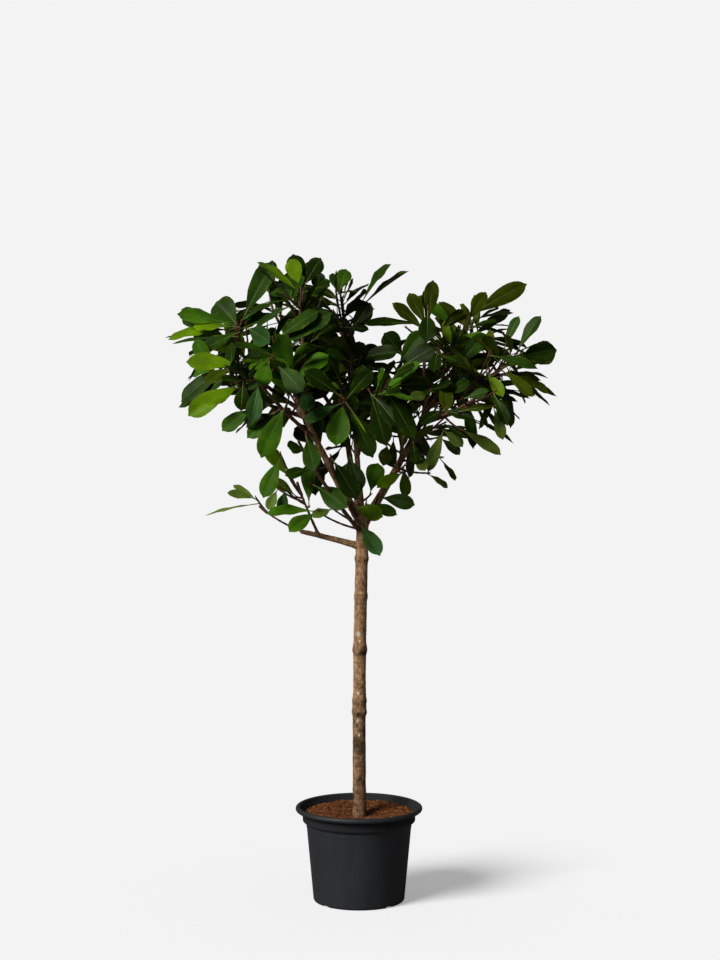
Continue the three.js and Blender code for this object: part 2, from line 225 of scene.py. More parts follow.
# rings round paths: centre + radius * (cos a * side + sin a * over), where side is square to the
# path and to its least axis, and over is square to both; flat ends close each tube
def tubes(paths, radii, sides):
    ways = unit(np.gradient(paths, axis=1))
    least = np.abs(paths[:, -1] - paths[:, 0]).argmin(axis=1)
    side = unit(np.cross(np.eye(3)[least][:, None, :], ways))
    over = np.cross(ways, side)
    angles = roundAngles(sides)
    rings = np.cos(angles)[:, None] * side[:, :, None] + np.sin(angles)[:, None] * over[:, :, None]
    points = paths[:, :, None] + radii[:, :, None, None] * rings
    index = np.arange(points[..., 0].size).reshape(points.shape[:3])
    after = np.roll(index, -1, axis=2)
    quads = np.stack([index[:, :-1], after[:, :-1], after[:, 1:], index[:, 1:]], axis=-1)
    ends = np.concatenate([index[:, 0, ::-1], index[:, -1]])
    return points.reshape(-1, 3), [quads.reshape(-1, 4), ends]


# a turned shape's points and faces: quads between its rings, and a flat face at either end
def turned(rings):
    index = np.arange(rings[..., 0].size).reshape(len(rings), -1)
    after = np.roll(index, -1, axis=1)
    quads = np.stack([index[:-1], after[:-1], after[1:], index[1:]], axis=-1).reshape(-1, 4)
    return rings.reshape(-1, 3), [quads, np.stack([index[0, ::-1], index[-1]])]


# a hash's factors for each axis, for the seed and to mix by, its two shifts, and the words that it keeps
hashing = {
    "axes": (73856093, 19349663, 83492791),
    "seed": 2654435,
    "mix": 1274126177,
    "shifts": (13, 15),
    "words": (0xFFFFFFFF, 0xFFFF),
}


# smooth noise from -1 to 1: hashed values at the corners of a unit lattice, blended between them
def lattice(points, seed):
    cell = np.floor(points).astype(np.int64)
    part = points - cell
    ease = part * part * (3 - 2 * part)
    total = np.zeros(len(points))
    (firstShift, lastShift), (long, short) = hashing["shifts"], hashing["words"]
    for corner in np.ndindex(2, 2, 2):
        hashed = np.bitwise_xor.reduce((cell + corner) * hashing["axes"], axis=1)
        hashed = hashed ^ seed * hashing["seed"]
        hashed = (hashed ^ hashed >> firstShift) * hashing["mix"] & long
        value = ((hashed ^ hashed >> lastShift) & short) / (short / 2) - 1
        total += value * np.where(np.array(corner) == 1, ease, 1 - ease).prod(axis=1)
    return total


# Camera as fitted to the photo: millimetres, degrees, pixels.
camera = {
    "place": (2.372, -5800, 1501.6),
    "pitch": 4.9507,
    "focal": 2488.25,
    "size": (720, 960),
    "sensor": 36,
    "far": 100,  # metres
}
# Lamp as read from the pot's shadow: the way it shines, round from +X and down from level, and the angle
# that it fills, in degrees.
lamp = {"turn": 43, "fall": 34, "strength": 3.5, "angle": 27, "tint": (1, 0.97, 0.91)}


# the pixels at which points are seen
def toPixel(points):
    away = points - np.array(camera["place"])
    pitch = math.radians(camera["pitch"])
    depth = away[..., 1] * math.cos(pitch) - away[..., 2] * math.sin(pitch)
    rise = away[..., 1] * math.sin(pitch) + away[..., 2] * math.cos(pitch)
    wide, high = camera["size"]
    across = wide / 2 + camera["focal"] * away[..., 0] / depth
    down = high / 2 - camera["focal"] * rise / depth
    return np.stack([across, down], axis=-1)


# the point seen at a pixel, at a depth along Y
def atPixel(u, v, y):
    wide, high = camera["size"]
    pitch = math.radians(camera["pitch"])
    across, rise = (u - wide / 2) / camera["focal"], (high / 2 - v) / camera["focal"]
    ahead = math.cos(pitch) + rise * math.sin(pitch)
    way = np.array((across, ahead, rise * math.cos(pitch) - math.sin(pitch)))
    start = np.array(camera["place"])
    return start + way * (y - start[1]) / way[1]


# Growth: the source's rule for limbs, stems, shoots and leaves. What is drawn from a spread is given by its
# least value and its range.
plant = {
    "soilTop": 210,
    "forkHeight": 695,
    "trunkStep": 50,  # that the trunk's line goes on below the soil
    "trunkRadius": (15.8, 14.6),
    "lean": (2, -3, 9),  # along X at the trunk's foot, waist and fork
    "stemShare": 0.6,
    "stemLift": 0.25,
    "shootLowest": 0.35,
    "shootLift": 0.35,
    "shootLength": (0.55, 0.45),  # shares of the limb's reach
    "leaderSpread": (8, 20),
    "shootSpread": (45, 25),
    "turnSpread": 1.2,  # radians
    "leafRounds": 5,
    "spraySag": 0.1,  # of a shoot read from the photo
    "shootSeed": 26000,
    "twigSeed": 26500,
    "toneSeed": 26900,
    "upright": 0.9,  # a way's part along Z from which it counts as upright
    "lengthSteps": 33,
}
# foot and tip radius, sag, reach, shoots, leaves a shoot in the source
limbKinds = {
    "main": (11, 5, 0.06, 70, 3, 6),
    "side": (5.5, 3.8, 0.05, 64, 3, 6),
    "thin": (3.6, 2.8, 0.05, 58, 3, 6),
    "sprig": (3, 2.5, 0.08, 45, 1, 3),
    "cut": (8, 5.5, -0.02, 0, 0, 0),
}
# name, parent, share of the parent, turn, rise, length, kind
limbRows = [
    ("low", "trunk", 0.915, 188, 15, 150, "cut"),
    ("low_spur", "low", 0.93, 187, 28, 125, "sprig"),
    ("low_riser", "low", 0.7, 220, 62, 145, "thin"),
    ("left", "trunk", 0.985, 220, 57, 410, "main"),
    ("left_crest", "left", 0.8, 140, 84, 285, "side"),
    ("left_shoulder", "left", 0.9, 138, 28, 300, "side"),
    ("left_outer", "left", 0.86, 175, 20, 180, "side"),
    ("left_hem", "left", 0.7, 230, 35, 260, "side"),
    ("left_under", "trunk", 0.955, 235, 42, 345, "side"),
    ("middle", "trunk", 0.99, 235, 82, 330, "main"),
    ("middle_crest", "middle", 0.8, 100, 60, 290, "side"),
    ("middle_face", "middle", 0.6, 285, 34, 270, "side"),
    ("throat", "trunk", 0.97, 232, 52, 195, "thin"),
    ("right", "trunk", 0.985, 15, 60, 410, "main"),
    ("right_crest", "right", 0.82, 265, 80, 190, "side"),
    ("right_top", "right", 0.92, 45, 46, 190, "side"),
    ("right_outer", "right", 0.88, 355, 26, 185, "side"),
    ("right_hem", "right", 0.76, 308, 18, 220, "side"),
    ("right_under", "right", 0.5, 272, 22, 170, "thin"),
    ("back", "trunk", 0.98, 110, 62, 405, "main"),
    ("back_left", "back", 0.75, 138, 48, 355, "side"),
    ("back_right", "back", 0.8, 30, -10, 175, "side"),
]
slenderFoot = {"middle": 8, "back": 9}


# factor and step that make a seed's first state and each state after it, in whole numbers below the span
stream = {"seed": (747796405, 277803737), "next": (1664525, 1013904223), "span": 2**32}


# the source's repeatable stream of numbers from 0 to 1, its first two draws dropped
def numberStream(seed):
    factor, step = stream["seed"]
    state = (seed * factor + step) % stream["span"]

    def draw():
        nonlocal state
        factor, step = stream["next"]
        state = (state * factor + step) % stream["span"]
        return state / stream["span"]

    draw()
    draw()
    return draw


# a draw from a spread, given by its least value and its range
def drawn(spread, draw):
    least, span = spread
    return least + span * draw()


# a quadratic curve's point and direction at a share or at an array of shares
def curvePoint(curve, share):
    t = np.asarray(share, float)[..., None]
    return (1 - t) ** 2 * curve[0] + 2 * t * (1 - t) * curve[1] + t * t * curve[2]


def curveWay(curve, share):
    t = np.asarray(share, float)[..., None]
    return unit((1 - t) * (curve[1] - curve[0]) + t * (curve[2] - curve[1]))


def curveLength(curve):
    line = curvePoint(curve, np.linspace(0, 1, plant["lengthSteps"]))
    return np.linalg.norm(np.diff(line, axis=0), axis=1).sum()


# a direction from degrees round from +X and up from level
def wayOf(turn, rise):
    level = math.cos(math.radians(rise))
    return np.array((
        level * math.cos(math.radians(turn)),
        level * math.sin(math.radians(turn)),
        math.sin(math.radians(rise)),
    ))


# a direction tipped away from another by an angle, towards a place round it
def tipped(way, angle, around):
    guide = up if abs(way[2]) < plant["upright"] else toRight
    side = unit(np.cross(way, guide))
    over = np.cross(side, way)
    aside = math.cos(around) * side + math.sin(around) * over
    return unit(math.cos(angle) * way + math.sin(angle) * aside)


# a vector turned round an axis
def rolled(vector, axis, angle):
    crossed = np.cross(axis, vector)
    kept = axis * axis.dot(vector) * (1 - math.cos(angle))
    return vector * math.cos(angle) + crossed * math.sin(angle) + kept


# a twig's curve: half its length along the way, and half along the way as lifted
def twigCurve(start, way, length, lift):
    middle = start + way * length / 2
    return np.stack([start, middle, middle + unit(way + lift * up) * length / 2])


# the trunk's line and each limb's, which leaves its parent at a share and sags between foot and tip
def makeLimbs():
    ground = plant["soilTop"]
    foot, waist, fork = plant["lean"]
    low, high = ground - plant["trunkStep"], ground + plant["forkHeight"]
    trunk = np.array(((foot, 0, low), (waist, 0, (low + high) / 2), (fork, 0, high)), float)
    curves = {"trunk": trunk}
    for name, parent, share, turn, rise, length, kind in limbRows:
        _, _, sag, reach, _, _ = limbKinds[kind]
        start = curvePoint(curves[parent], share)
        tip = start + wayOf(turn, rise) * (length - plant["stemShare"] * reach)
        middle = (start + tip) / 2 - up * sag * np.linalg.norm(tip - start)
        curves[name] = np.stack([start, middle, tip])
    return curves


limbCurves = makeLimbs()


# Leaves at life size: shares of the length unless said, angles in degrees.
leaf = {
    "length": 124,
    "widthShare": (0.39, 0.31),  # in the left lobe and in the right
    "lobes": (0, 110),  # millimetres along X between the lobes
    "parting": 60,  # millimetres along X past which a leaf is the right lobe's
    "petiole": 0.14,
    "widest": 0.64,
    "thick": 0.9,  # millimetres, amid the blade
    "fullness": 8,  # power by which the blade keeps that up to its ends
    "stations": (0, 0.05, 0.13, 0.24, 0.36, 0.48, 0.6, 0.71, 0.8, 0.87, 0.92, 0.955, 1),  # along the blade
    "lines": 7,  # across the blade
    "body": (0.965, 1.1, 0.55, 0.35),  # where the broad part ends, powers of its two ends, and their peak
    "drip": (0.07, 0.13, 0.02),  # reach and half width of the drip tip, and the least half width
    "fold": (13, 18),  # least and range
    "cup": 0.2,
    "wave": 0.09,
    "ripple": (2.3, 2.1),  # waves along the blade, and their shift in radians across half of it
    "twist": 26,
    "twistFrom": 0.4,
    "twistSpin": 7.7,  # radians a millimetre of length, so that leaves twist unlike
    "diceSpin": (12.9898, 43758.5453),  # radians a millimetre and scale of the hash of a leaf's place
    "lobeLean": 0.6,
    "foreAft": (0.92, 0.72),  # most that an aim lies along Y, in the left lobe and the right
    "fewest": 3,  # leaves on a spray of the rule
    "most": 4000,  # leaves in all that there is room for
    # by the source's rule, where two values are for the shoot's end and low down on it
    "sits": (0.97, 0.3),  # shares of the shoot
    "flare": (16, 82),
    "flarePower": 0.8,
    "flareSpread": 36,
    "aroundSpread": 0.9,  # radians
    "sag": (0.12, 0.25),  # least, and the range for a leaf low down
    "youngLength": 0.78,
    "lengthSpread": (0.85, 0.3),
    "widthSpread": (0.88, 0.24),
    "faceMix": (0.3, 0.65, 0.5),  # of the shoot's way, up and outwards
    "rollSpread": 70,
    "droop": (0.04, 0.22),  # least and most
    # of a leaf read from the photo
    "joints": (0.97, 0.12, 3),  # share of the shoot for the first one, the step to the next, and how many
    "arch": 0.11,  # its droop
    "fitRounds": 4,  # for its length, so that its drooping tip meets the pixel
    # millimetres
    "bead": 6,  # between the spheres that stand for a limb
    "margin": 2,  # clear of a limb
    "outside": 20,  # past the solids' box
    "shade": 260,  # towards the lamp, kept clear before a leaf read from the photo
}
# Twigs: millimetres, degrees.
twig = {
    # leaves on a shoot, finer twigs below the stem and leaves on each, by kind of limb or by limb
    "leaves": {
        "main": (8, 6, 6), "side": (8, 4, 6), "thin": (0, 0, 0), "sprig": (0, 0, 0), "cut": (0, 0, 0),
        "left_under": (0, 1, 3), "right_hem": (0, 1, 3), "left_hem": (4, 2, 4), "left_outer": (4, 3, 5),
        "left_crest": (6, 3, 5), "left_shoulder": (5, 3, 5), "middle_face": (3, 2, 3), "right": (8, 6, 6),
        "right_crest": (6, 3, 6), "right_top": (8, 6, 6), "right_outer": (8, 6, 6),
    },
    "length": (22, 34),  # least and range
    "spread": (40, 35),
    "lowest": 0.45,  # share of the limb
    "stemRadius": (3.9, 3.1),
    "shootRadius": (3.0, 2.2),
    "twigRadius": (2.3, 1.7),
    "rings": 15,
    "sides": 7,
    "scars": (0.1, 9),  # height as a share of the radius, and half waves along the twig
}
# where the photo shows sky round and amid the lobes: middle and half size in pixels
hollows = np.array((
    (388, 296, 17, 20), (392, 318, 14, 8), (215, 470, 46, 34), (180, 440, 30, 24), (285, 562, 75, 30),
    (332, 522, 20, 18), (374, 472, 30, 34), (500, 500, 62, 45), (562, 450, 48, 46), (450, 522, 46, 36),
    (210, 268, 38, 28), (310, 251, 7, 9), (294, 456, 20, 16), (505, 300, 14, 6), (536, 292, 16, 20),
    (185, 292, 30, 14), (375, 336, 20, 8), (384, 363, 7, 7), (176, 368, 9, 16), (178, 392, 6, 8),
    (366, 461, 10, 9), (386, 437, 8, 5), (384, 457, 8, 9), (326, 443, 5, 6), (345, 465, 3, 6),
    (437, 448, 6, 8), (420, 422, 6, 7), (424, 414, 7, 5), (441, 424, 7, 4), (452, 292, 11, 8),
    (398, 288, 8, 8), (417, 476, 6, 12), (433, 464, 10, 7), (293, 338, 7, 5), (192, 352, 5, 3),
    (181, 354, 5, 5), (508, 321, 9, 6), (523, 329, 4, 8), (326, 400, 6, 6), (303, 416, 10, 5),
    (290, 437, 7, 6), (224, 411, 7, 5), (239, 402, 4, 7), (262, 294, 5, 7), (269, 392, 5, 8),
    (254, 356, 6, 4), (380, 329, 14, 5),
))
# sprays read from the photo: limb, share of it, pixel and depth of the shoot's end, tone, and for each leaf
# the pixel of its tip, how far it comes forward (-1) or goes back (1), whether it lies (0), fronts (1) or
# hangs past that (2), and its breadth where it isn't 1
sprays = [
    ("low_spur", 1, (257, 499, -35), "light", [
        (227, 493, -0.2, 0.5, 0.65), (233, 485, 0.4, 0.25, 0.5), (205, 516, 0.2, 0.15, 0.6)]),
    ("low_riser", 1, (290, 479, -55), "freshAndLit", [(266, 448, 0.2, 0.8, 0.9)]),
    ("low_riser", 0.98, (281, 455, -78), "green", [(263, 498, -0.3, 0.7)]),
    ("low_riser", 0.95, (297, 497, -30), "olive", [(272, 480, 0.2, 0.6, 0.75)]),
    ("low_riser", 0.85, (277, 488, -22), "light", [(268, 510, -0.2, 0.7, 0.8)]),
    ("low_riser", 0.8, (285, 489, -8), "shade", [(281, 511, -0.1, 0.7, 0.9)]),
    ("low_riser", 0.75, (309, 507, -62), "green", [(308, 464, 0.25, 0.9, 0.8)]),
    ("low_riser", 0.5, (317, 511, -50), "green", [(267, 514, -0.2, 0.4), (289, 532, -0.4, 0.7, 1.1)]),
    ("left", 0.5, (311, 469, -75), "deep", [(285, 476, -0.2, 0.6, 0.9)]),
    ("left", 0.25, (312, 484, -74), "deep", [(347, 508, -0.9, 0.8, 1.2)]),
    ("left_under", 0.95, (306, 435, -185), "deep", [(315, 471, -0.75, 0.9, 1.1)]),
    ("left_under", 0.9, (305, 452, -150), "green", [(287, 446, -0.3, 0.6)]),
    ("throat", 1, (331, 457, -120), "shadowed", [(357, 499, -0.4, 0.8, 1.1)]),
    ("throat", 0.85, (350, 455, -60), "deep", [(361, 491, -0.4, 0.8), (341, 482, -0.3, 0.8)]),
    ("trunk", 0.985, (332, 508, -34), "light", [(313, 518, -0.3, 0.5)]),
    ("trunk", 0.97, (323, 515, -30), "green", []),
    ("middle", 0.2, (370, 495, -40), "green", [(378, 463, 0.2, 0.9, 1.2)]),
    ("right", 0.43, (405, 472, -10), "freshAndLit", [(377, 488, -0.5, 0.7)]),
    ("right", 0.41, (404, 466, 48), "freshAndLit", [(406, 497, 0.2, 0.7)]),
    ("right", 0.15, (378, 497, -26), "deep", [(415, 505, -0.3, 0.8)]),
    ("trunk", 0.99, (353, 506, -40), "freshAndLit", [(383, 517, -0.3, 0.75, 1.1)]),
    ("trunk", 0.995, (366, 503, -18), "green", [(397, 515, -0.2, 0.75, 0.8)]),
    ("trunk", 0.985, (360, 524, -24), "shade", [(380, 556, -0.9, 0.8)]),
    ("right", 0.45, (427, 473, 25), "light", [(448, 488, 0, 0.3)]),
    ("right", 0.6, (440, 457, 5), "olive", [(455, 481, 0.3, 0.1)]),
    ("right", 0.5, (420, 456, -15), "light", [(425, 471, -0.8, 0.9)]),
    ("right", 0.55, (387, 443, -30), "light", [(383, 466, -0.6, 0.8)]),
    ("right", 0.68, (393, 436, 28), "deep", [(392, 467, 0, 0.7, 0.75)]),
    ("right", 0.5, (399, 469, -12), "shadowed", [(386, 463, -0.2, 0.5, 0.5)]),
    ("right", 0.62, (413, 440, -65), "deep", [(416, 465, -0.1, 0.6)]),
    ("right_hem", 0.5, (460, 429, -60), "light", [(501, 455, -0.2, 0.6)]),
    ("right_hem", 0.7, (470, 417, -60), "deep", [(514, 444, 0.1, 0.25)]),
    ("right", 0.7, (446, 427, -10), "light", [(428, 472, -0.2, 0.5), (463, 447, -0.3, 0.6)]),
    ("right", 0.72, (444, 423, -25), "shadowed", [(468, 439, -0.4, 0.6)]),
    ("right", 0.66, (440, 437, 0), "shadowed", [(460, 455, -0.3, 0.5)]),
    ("right_hem", 0.35, (440, 410, -80), "shadowed", [(472, 418, -0.4, 0.6)]),
    ("right_hem", 0.3, (446, 408, -70), "shadowed", [(420, 424, -0.2, 0.7)]),
    ("right_hem", 0.8, (458, 412, -105), "olive", [(492, 407, -0.3, 0.5, 0.9)]),
    ("right_hem", 0.97, (463, 399, -130), "deep", [(489, 391, -0.2, 0.6, 0.9)]),
    ("right", 0.62, (430, 392, 0), "light", [(411, 399, -0.5, 0.7)]),
    ("right", 0.64, (430, 390, 10), "shadowed", [(452, 383, -0.4, 0.5)]),
    ("right_outer", 0.35, (447, 397, 0), "deep", [(470, 381, -0.4, 0.6)]),
    ("right_outer", 0.45, (463, 391, -5), "deep", [(485, 398, -0.4, 0.5)]),
    ("right", 0.55, (448, 386, 10), "olive", []),
    ("right", 0.6, (463, 397, -10), "olive", []),
    ("right", 0.57, (433, 396, 30), "olive", []),
    ("right_hem", 0.3, (472, 404, -30), "olive", []),
    ("right_outer", 0.5, (487, 370, 20), "freshAndLit", [(503, 397, -0.5, 0.8)]),
    ("right_crest", 0.9, (453, 352, -10), "freshAndLit", [(444, 321, 0.2, 0.8, 0.7)]),
    ("right_hem", 1, (494, 392, -60), "deep", [(508, 426, -0.4, 0.8), (520, 420, 0.2, 0.2)]),
    ("right_hem", 0.95, (494, 406, -75), "light", [(503, 440, -0.2, 0.5)]),
    ("right_outer", 1, (516, 354, 60), "deep", [(541, 316, 0.2, 0.3), (505, 334, -0.6, 0.4)]),
    ("right_outer", 0.95, (503, 351, 70), "deep", [(519, 316, 0.2, 0.3, 0.8)]),
    ("right_outer", 0.97, (516, 357, 40), "shadowed", [(557, 350, -0.4, 2, 2.0)]),
    ("right_outer", 0.8, (489, 354, -20), "deep", [(538, 369, -0.1, 0.5)]),
    ("right_outer", 0.88, (502, 369, -15), "olive", [(533, 397, -0.2, 0.6)]),
    ("right_outer", 0.9, (509, 372, 20), "olive", [(549, 394, -0.2, 0.4), (550, 406, 0.3, 0.1)]),
    ("right_top", 1, (468, 317, 120), "olive", [(527, 284, 0.1, 1.1), (486, 292, -0.5, 0.8)]),
    ("right_top", 0.97, (468, 320, 105), "shadowed", [
        (514, 313, 0.3, 0.1), (506, 335, -0.3, 0.2), (497, 322, -0.5, 0.4)]),
    ("right_top", 0.8, (460, 329, 80), "green", [(416, 296, -0.1, 0.5), (485, 337, -0.5, 0.4)]),
    ("right_top", 0.75, (464, 326, 60), "shadowed", [(454, 348, -0.5, 0.7)]),
    ("right_top", 0.5, (455, 369, 10), "deep", [(487, 334, 0.2, 0.8, 1.1)]),
    ("right_crest", 1, (428, 325, 20), "olive", [
        (433, 280, -0.2, 0.8), (409, 293, 0.4, 0.4), (392, 303, -0.2, 0.5)]),
    ("right_crest", 0.95, (427, 324, 30), "shadowed", [(363, 324, 0.1, 0.4, 0.8)]),
    ("right_crest", 0.97, (428, 309, -20), "shadowed", [(427, 342, -0.6, 0.8, 1.5)]),
    ("right_crest", 0.15, (395, 368, -45), "deep", [(424, 331, 0.1, 0.8, 1.2)]),
    ("right_crest", 0.2, (396, 369, -60), "shadowed", [(437, 346, -0.1, 0.6, 1.2)]),
    ("right_crest", 0.7, (438, 350, -60), "shadowed", [(434, 372, -0.9, 0.5), (463, 364, -0.5, 0.4)]),
    ("right_crest", 0.5, (404, 358, -5), "shadowed", [(384, 333, 0, 0.7, 1.5)]),
    ("middle_crest", 1, (360, 304, 90), "deep", [(391, 264, 0.2, 0.15), (409, 271, 0.1, 0.1)]),
    ("middle_crest", 0.7, (352, 329, 40), "shadowed", [(371, 303, 0.1, 0.8, 1.1)]),
    ("middle_crest", 0.6, (342, 326, 25), "shadowed", [(369, 330, -0.2, 0.4, 0.8)]),
    ("middle_crest", 0.95, (336, 293, 50), "olive", [(354, 292, -0.6, 0.3)]),
    ("middle_crest", 0.97, (340, 291, 60), "green", [(346, 269, 0.2, 0.8)]),
    ("middle", 1, (353, 359, -60), "shadowed", [(398, 352, -0.3, 0.6)]),
    ("middle", 0.98, (351, 361, -70), "green", [(326, 352, -0.3, 0.5)]),
    ("left_crest", 1, (301, 288, -75), "freshAndLit", [(290, 259, 0.1, 0.9), (257, 262, 0.1, 0.3)]),
    ("left_crest", 0.95, (304, 286, -60), "shadowed", [
        (321, 258, -0.1, 0.8), (330, 286, -0.7, 0.6), (293, 254, 0.4, 0.7)]),
    ("left_crest", 0.85, (321, 301, -40), "shadowed", [(318, 272, 0.2, 0.8)]),
    ("left", 1, (273, 340, -170), "deep", [
        (319, 311, -0.2, 0.4), (332, 313, 0.3, 0.5), (232, 346, -0.3, 0.3)]),
    ("left_shoulder", 0.7, (246, 326, -70), "shade", [(270, 343, -0.8, 0.95, 1.15)]),
    ("left_shoulder", 1, (241, 323, 20), "deep", [(274, 262, -0.1, 0.5), (216, 302, 0.5, 0.8, 1.6)]),
    ("left_shoulder", 0.95, (236, 328, -10), "freshAndLit", [(168, 340, -0.1, 0.3)]),
    ("left_shoulder", 0.97, (237, 325, -5), "green", [(177, 314, 0, 0.4)]),
    ("left_shoulder", 0.92, (237, 326, -25), "freshAndLit", [(193, 327, 0, 0.3)]),
    ("left_shoulder", 0.9, (240, 331, -50), "deep", [(199, 353, -0.3, 0.6), (172, 344, -0.2, 0.2, 0.4)]),
    ("left_shoulder", 0.75, (246, 362, 22), "freshAndLit", [
        (192, 330, 0.1, 0.6, 1.1), (231, 332, 0.3, 0.8), (187, 345, 0.2, 0.4, 0.8)]),
    ("left_outer", 1, (242, 364, -110), "freshAndLit", [(186, 362, -0.1, 0.6)]),
    ("left_outer", 0.97, (232, 366, -120), "olive", [(206, 384, -0.4, 0.5)]),
    ("left_outer", 0.95, (226, 364, -100), "deep", [(181, 402, 0, 0.6)]),
    ("left_outer", 0.93, (230, 373, -108), "deep", [(202, 395, 0.1, 0.6)]),
    ("left_outer", 0.9, (238, 384, -140), "freshAndLit", [(188, 416, -0.2, 0.7, 1.1), (204, 404, -0.7, 0.6)]),
    ("left_outer", 0.9, (243, 381, -130), "shadowed", [(241, 411, -0.3, 0.8)]),
    ("left_outer", 0.8, (259, 381, -178), "shade", [(252, 423, -0.3, 0.9, 1.1)]),
    ("left_outer", 0.7, (254, 407, -150), "green", [(222, 431, -0.1, 0.6)]),
    ("left_hem", 1, (276, 363, -235), "deep", [(303, 392, -0.6, 0.95, 1.15)]),
    ("left_hem", 0.97, (270, 361, -240), "green", [(260, 386, -0.7, 0.8)]),
    ("left_hem", 0.95, (272, 359, -205), "green", [(249, 370, -0.3, 0.4, 0.8)]),
    ("left_hem", 0.6, (287, 403, -200), "green", [(261, 458, -0.4, 0.8, 1.1)]),
    ("left_hem", 0.62, (286, 410, -175), "green", [(247, 438, 0, 0.6)]),
    ("left_hem", 0.65, (276, 412, -180), "shadowed", [(246, 428, 0.1, 0.5)]),
    ("left_hem", 0.5, (305, 389, -170), "shade", [(309, 411, -0.6, 0.8)]),
    ("middle_face", 0.48, (342, 397, -195), "shadowed", [(304, 371, -0.3, 0.7)]),
    ("middle_face", 0.5, (341, 402, -185), "shade", [(305, 422, -0.2, 0.5, 0.9)]),
    ("middle_face", 0.55, (345, 401, -195), "freshAndLit", [(366, 433, -0.2, 0.8, 0.12)]),
    ("middle_face", 0.5, (343, 399, -175), "green", [(336, 446, -0.4, 0.9, 1.45)]),
    ("middle_face", 0.52, (345, 399, -170), "shadowed", [(373, 370, -0.5, 0.7)]),
    ("middle_face", 0.6, (346, 402, -170), "deep", [(373, 458, -0.4, 0.7)]),
    ("middle_face", 1, (370, 392, -215), "shadowed", [
        (386, 446, -0.5, 0.85, 1.1), (399, 427, -0.6, 0.8), (400, 392, -0.7, 0.5)]),
]


# a leaf's width for its length: the right lobe's leaves are slimmer
def slimness(root):
    left, right = leaf["lobes"]
    return lerp(*leaf["widthShare"], np.clip((root[0] - left) / (right - left), 0, 1))


# one leaf by the source's rule: age 0 at a shoot's end, 1 low down on it
def leafOn(shoot, age, around, draw):
    place = lerp(*leaf["sits"], age)
    heading = curveWay(shoot, place)
    flare = lerp(*leaf["flare"], age ** leaf["flarePower"]) + leaf["flareSpread"] * (draw() - 0.5)
    aim = tipped(heading, math.radians(flare), around + leaf["aroundSpread"] * (draw() - 0.5))
    least, more = leaf["sag"]
    aim = unit(aim - up * (least + more * age * draw()))
    grown = lerp(leaf["youngLength"], 1, math.sqrt(age))
    length = leaf["length"] * grown * drawn(leaf["lengthSpread"], draw)
    root = curvePoint(shoot, place)
    width = length * slimness(root) * drawn(leaf["widthSpread"], draw)
    ahead, upward, outward = leaf["faceMix"]
    outside = unit(root * (1, 1, 0) + (0, leaf["lobeLean"] * root[0], 0))
    face = ahead * heading + upward * up + outward * outside
    face = unit(face - aim * face.dot(aim))
    face = rolled(face, aim, math.radians(leaf["rollSpread"]) * (draw() - 0.5))
    return root, aim, face, length, width, lerp(*leaf["droop"], draw())


# one leaf whose tip is seen at a pixel: as long as the rest, or as far as the pixel lies; its breadth
# changes half as much as its length
def leafTo(shoot, number, u, v, forward, fronts, breadth=1.0):
    first, step, places = leaf["joints"]
    root = curvePoint(shoot, first - step * (number % places))
    away = np.linalg.norm(atPixel(u, v, root[1]) - root)
    spare = math.sqrt(max(leaf["length"] ** 2 - away**2, 0))
    tip = atPixel(u, v, root[1] + forward * spare)
    droop = leaf["arch"]
    length = np.linalg.norm(tip - root)
    for _ in range(leaf["fitRounds"]):
        length = np.linalg.norm(tip - root + up * droop * length)
    aim = unit(tip - root + up * droop * length)
    face = lerp(up, toFront, fronts)
    width = breadth * slimness(root) * (length + leaf["length"]) / 2
    return root, aim, unit(face - aim * face.dot(aim)), length, width, droop


# spheres along a limb's line: their centres and radii
def beadsAlong(curve, foot, tip):
    shares = np.linspace(0, 1, int(curveLength(curve) / leaf["bead"]) + 2)
    return np.column_stack([curvePoint(curve, shares), lerp(foot, tip, shares)])


nearNought = 1e-9


# true where a segment passes through a triangle, for arrays of both that broadcast
def pierces(starts, ends, corners):
    first = corners[..., 1, :] - corners[..., 0, :]
    second = corners[..., 2, :] - corners[..., 0, :]
    way = ends - starts
    p = np.cross(way, second)
    scale = (first * p).sum(-1)
    scale = np.where(np.abs(scale) < nearNought, nearNought, scale)
    shift = starts - corners[..., 0, :]
    q = np.cross(shift, first)
    u = (shift * p).sum(-1) / scale
    v = (way * q).sum(-1) / scale
    t = (second * q).sum(-1) / scale
    return (u > 0) & (v > 0) & (u + v < 1) & (t > 0) & (t < 1)


bladeEdges = np.array(((0, 1), (0, 2), (1, 2), (1, 3), (2, 3)))
bladeFaces = np.array(((0, 1, 2), (1, 2, 3)))


# whether any edge of one kite passes through the other, for one blade against many
def bladeCrosses(blade, others):
    mine, theirs = blade[bladeEdges], others[:, bladeEdges]
    through = pierces(mine[None, :, None, 0], mine[None, :, None, 1], others[:, None][:, :, bladeFaces])
    back = pierces(theirs[:, :, None, 0], theirs[:, :, None, 1], blade[bladeFaces][None, None])
    return through.any() or back.any()


# a leaf's kite: foot of the blade, both sides at its widest, tip
def kiteOf(root, aim, face, length, width, droop):
    along = np.array((leaf["petiole"], leaf["widest"], leaf["widest"], 1.0))[:, None]
    aside = np.array((0.0, 0.5, -0.5, 0.0))[:, None] * width
    return root + aim * along * length - up * droop * length * along**2 + np.cross(face, aim) * aside


# places inside a kite: halfway from its foot to each other corner, and amid its widest
def innerPoints(blade):
    return np.concatenate([(blade[:1] + blade[1:]) / 2, (blade[1:2] + blade[2:3]) / 2])


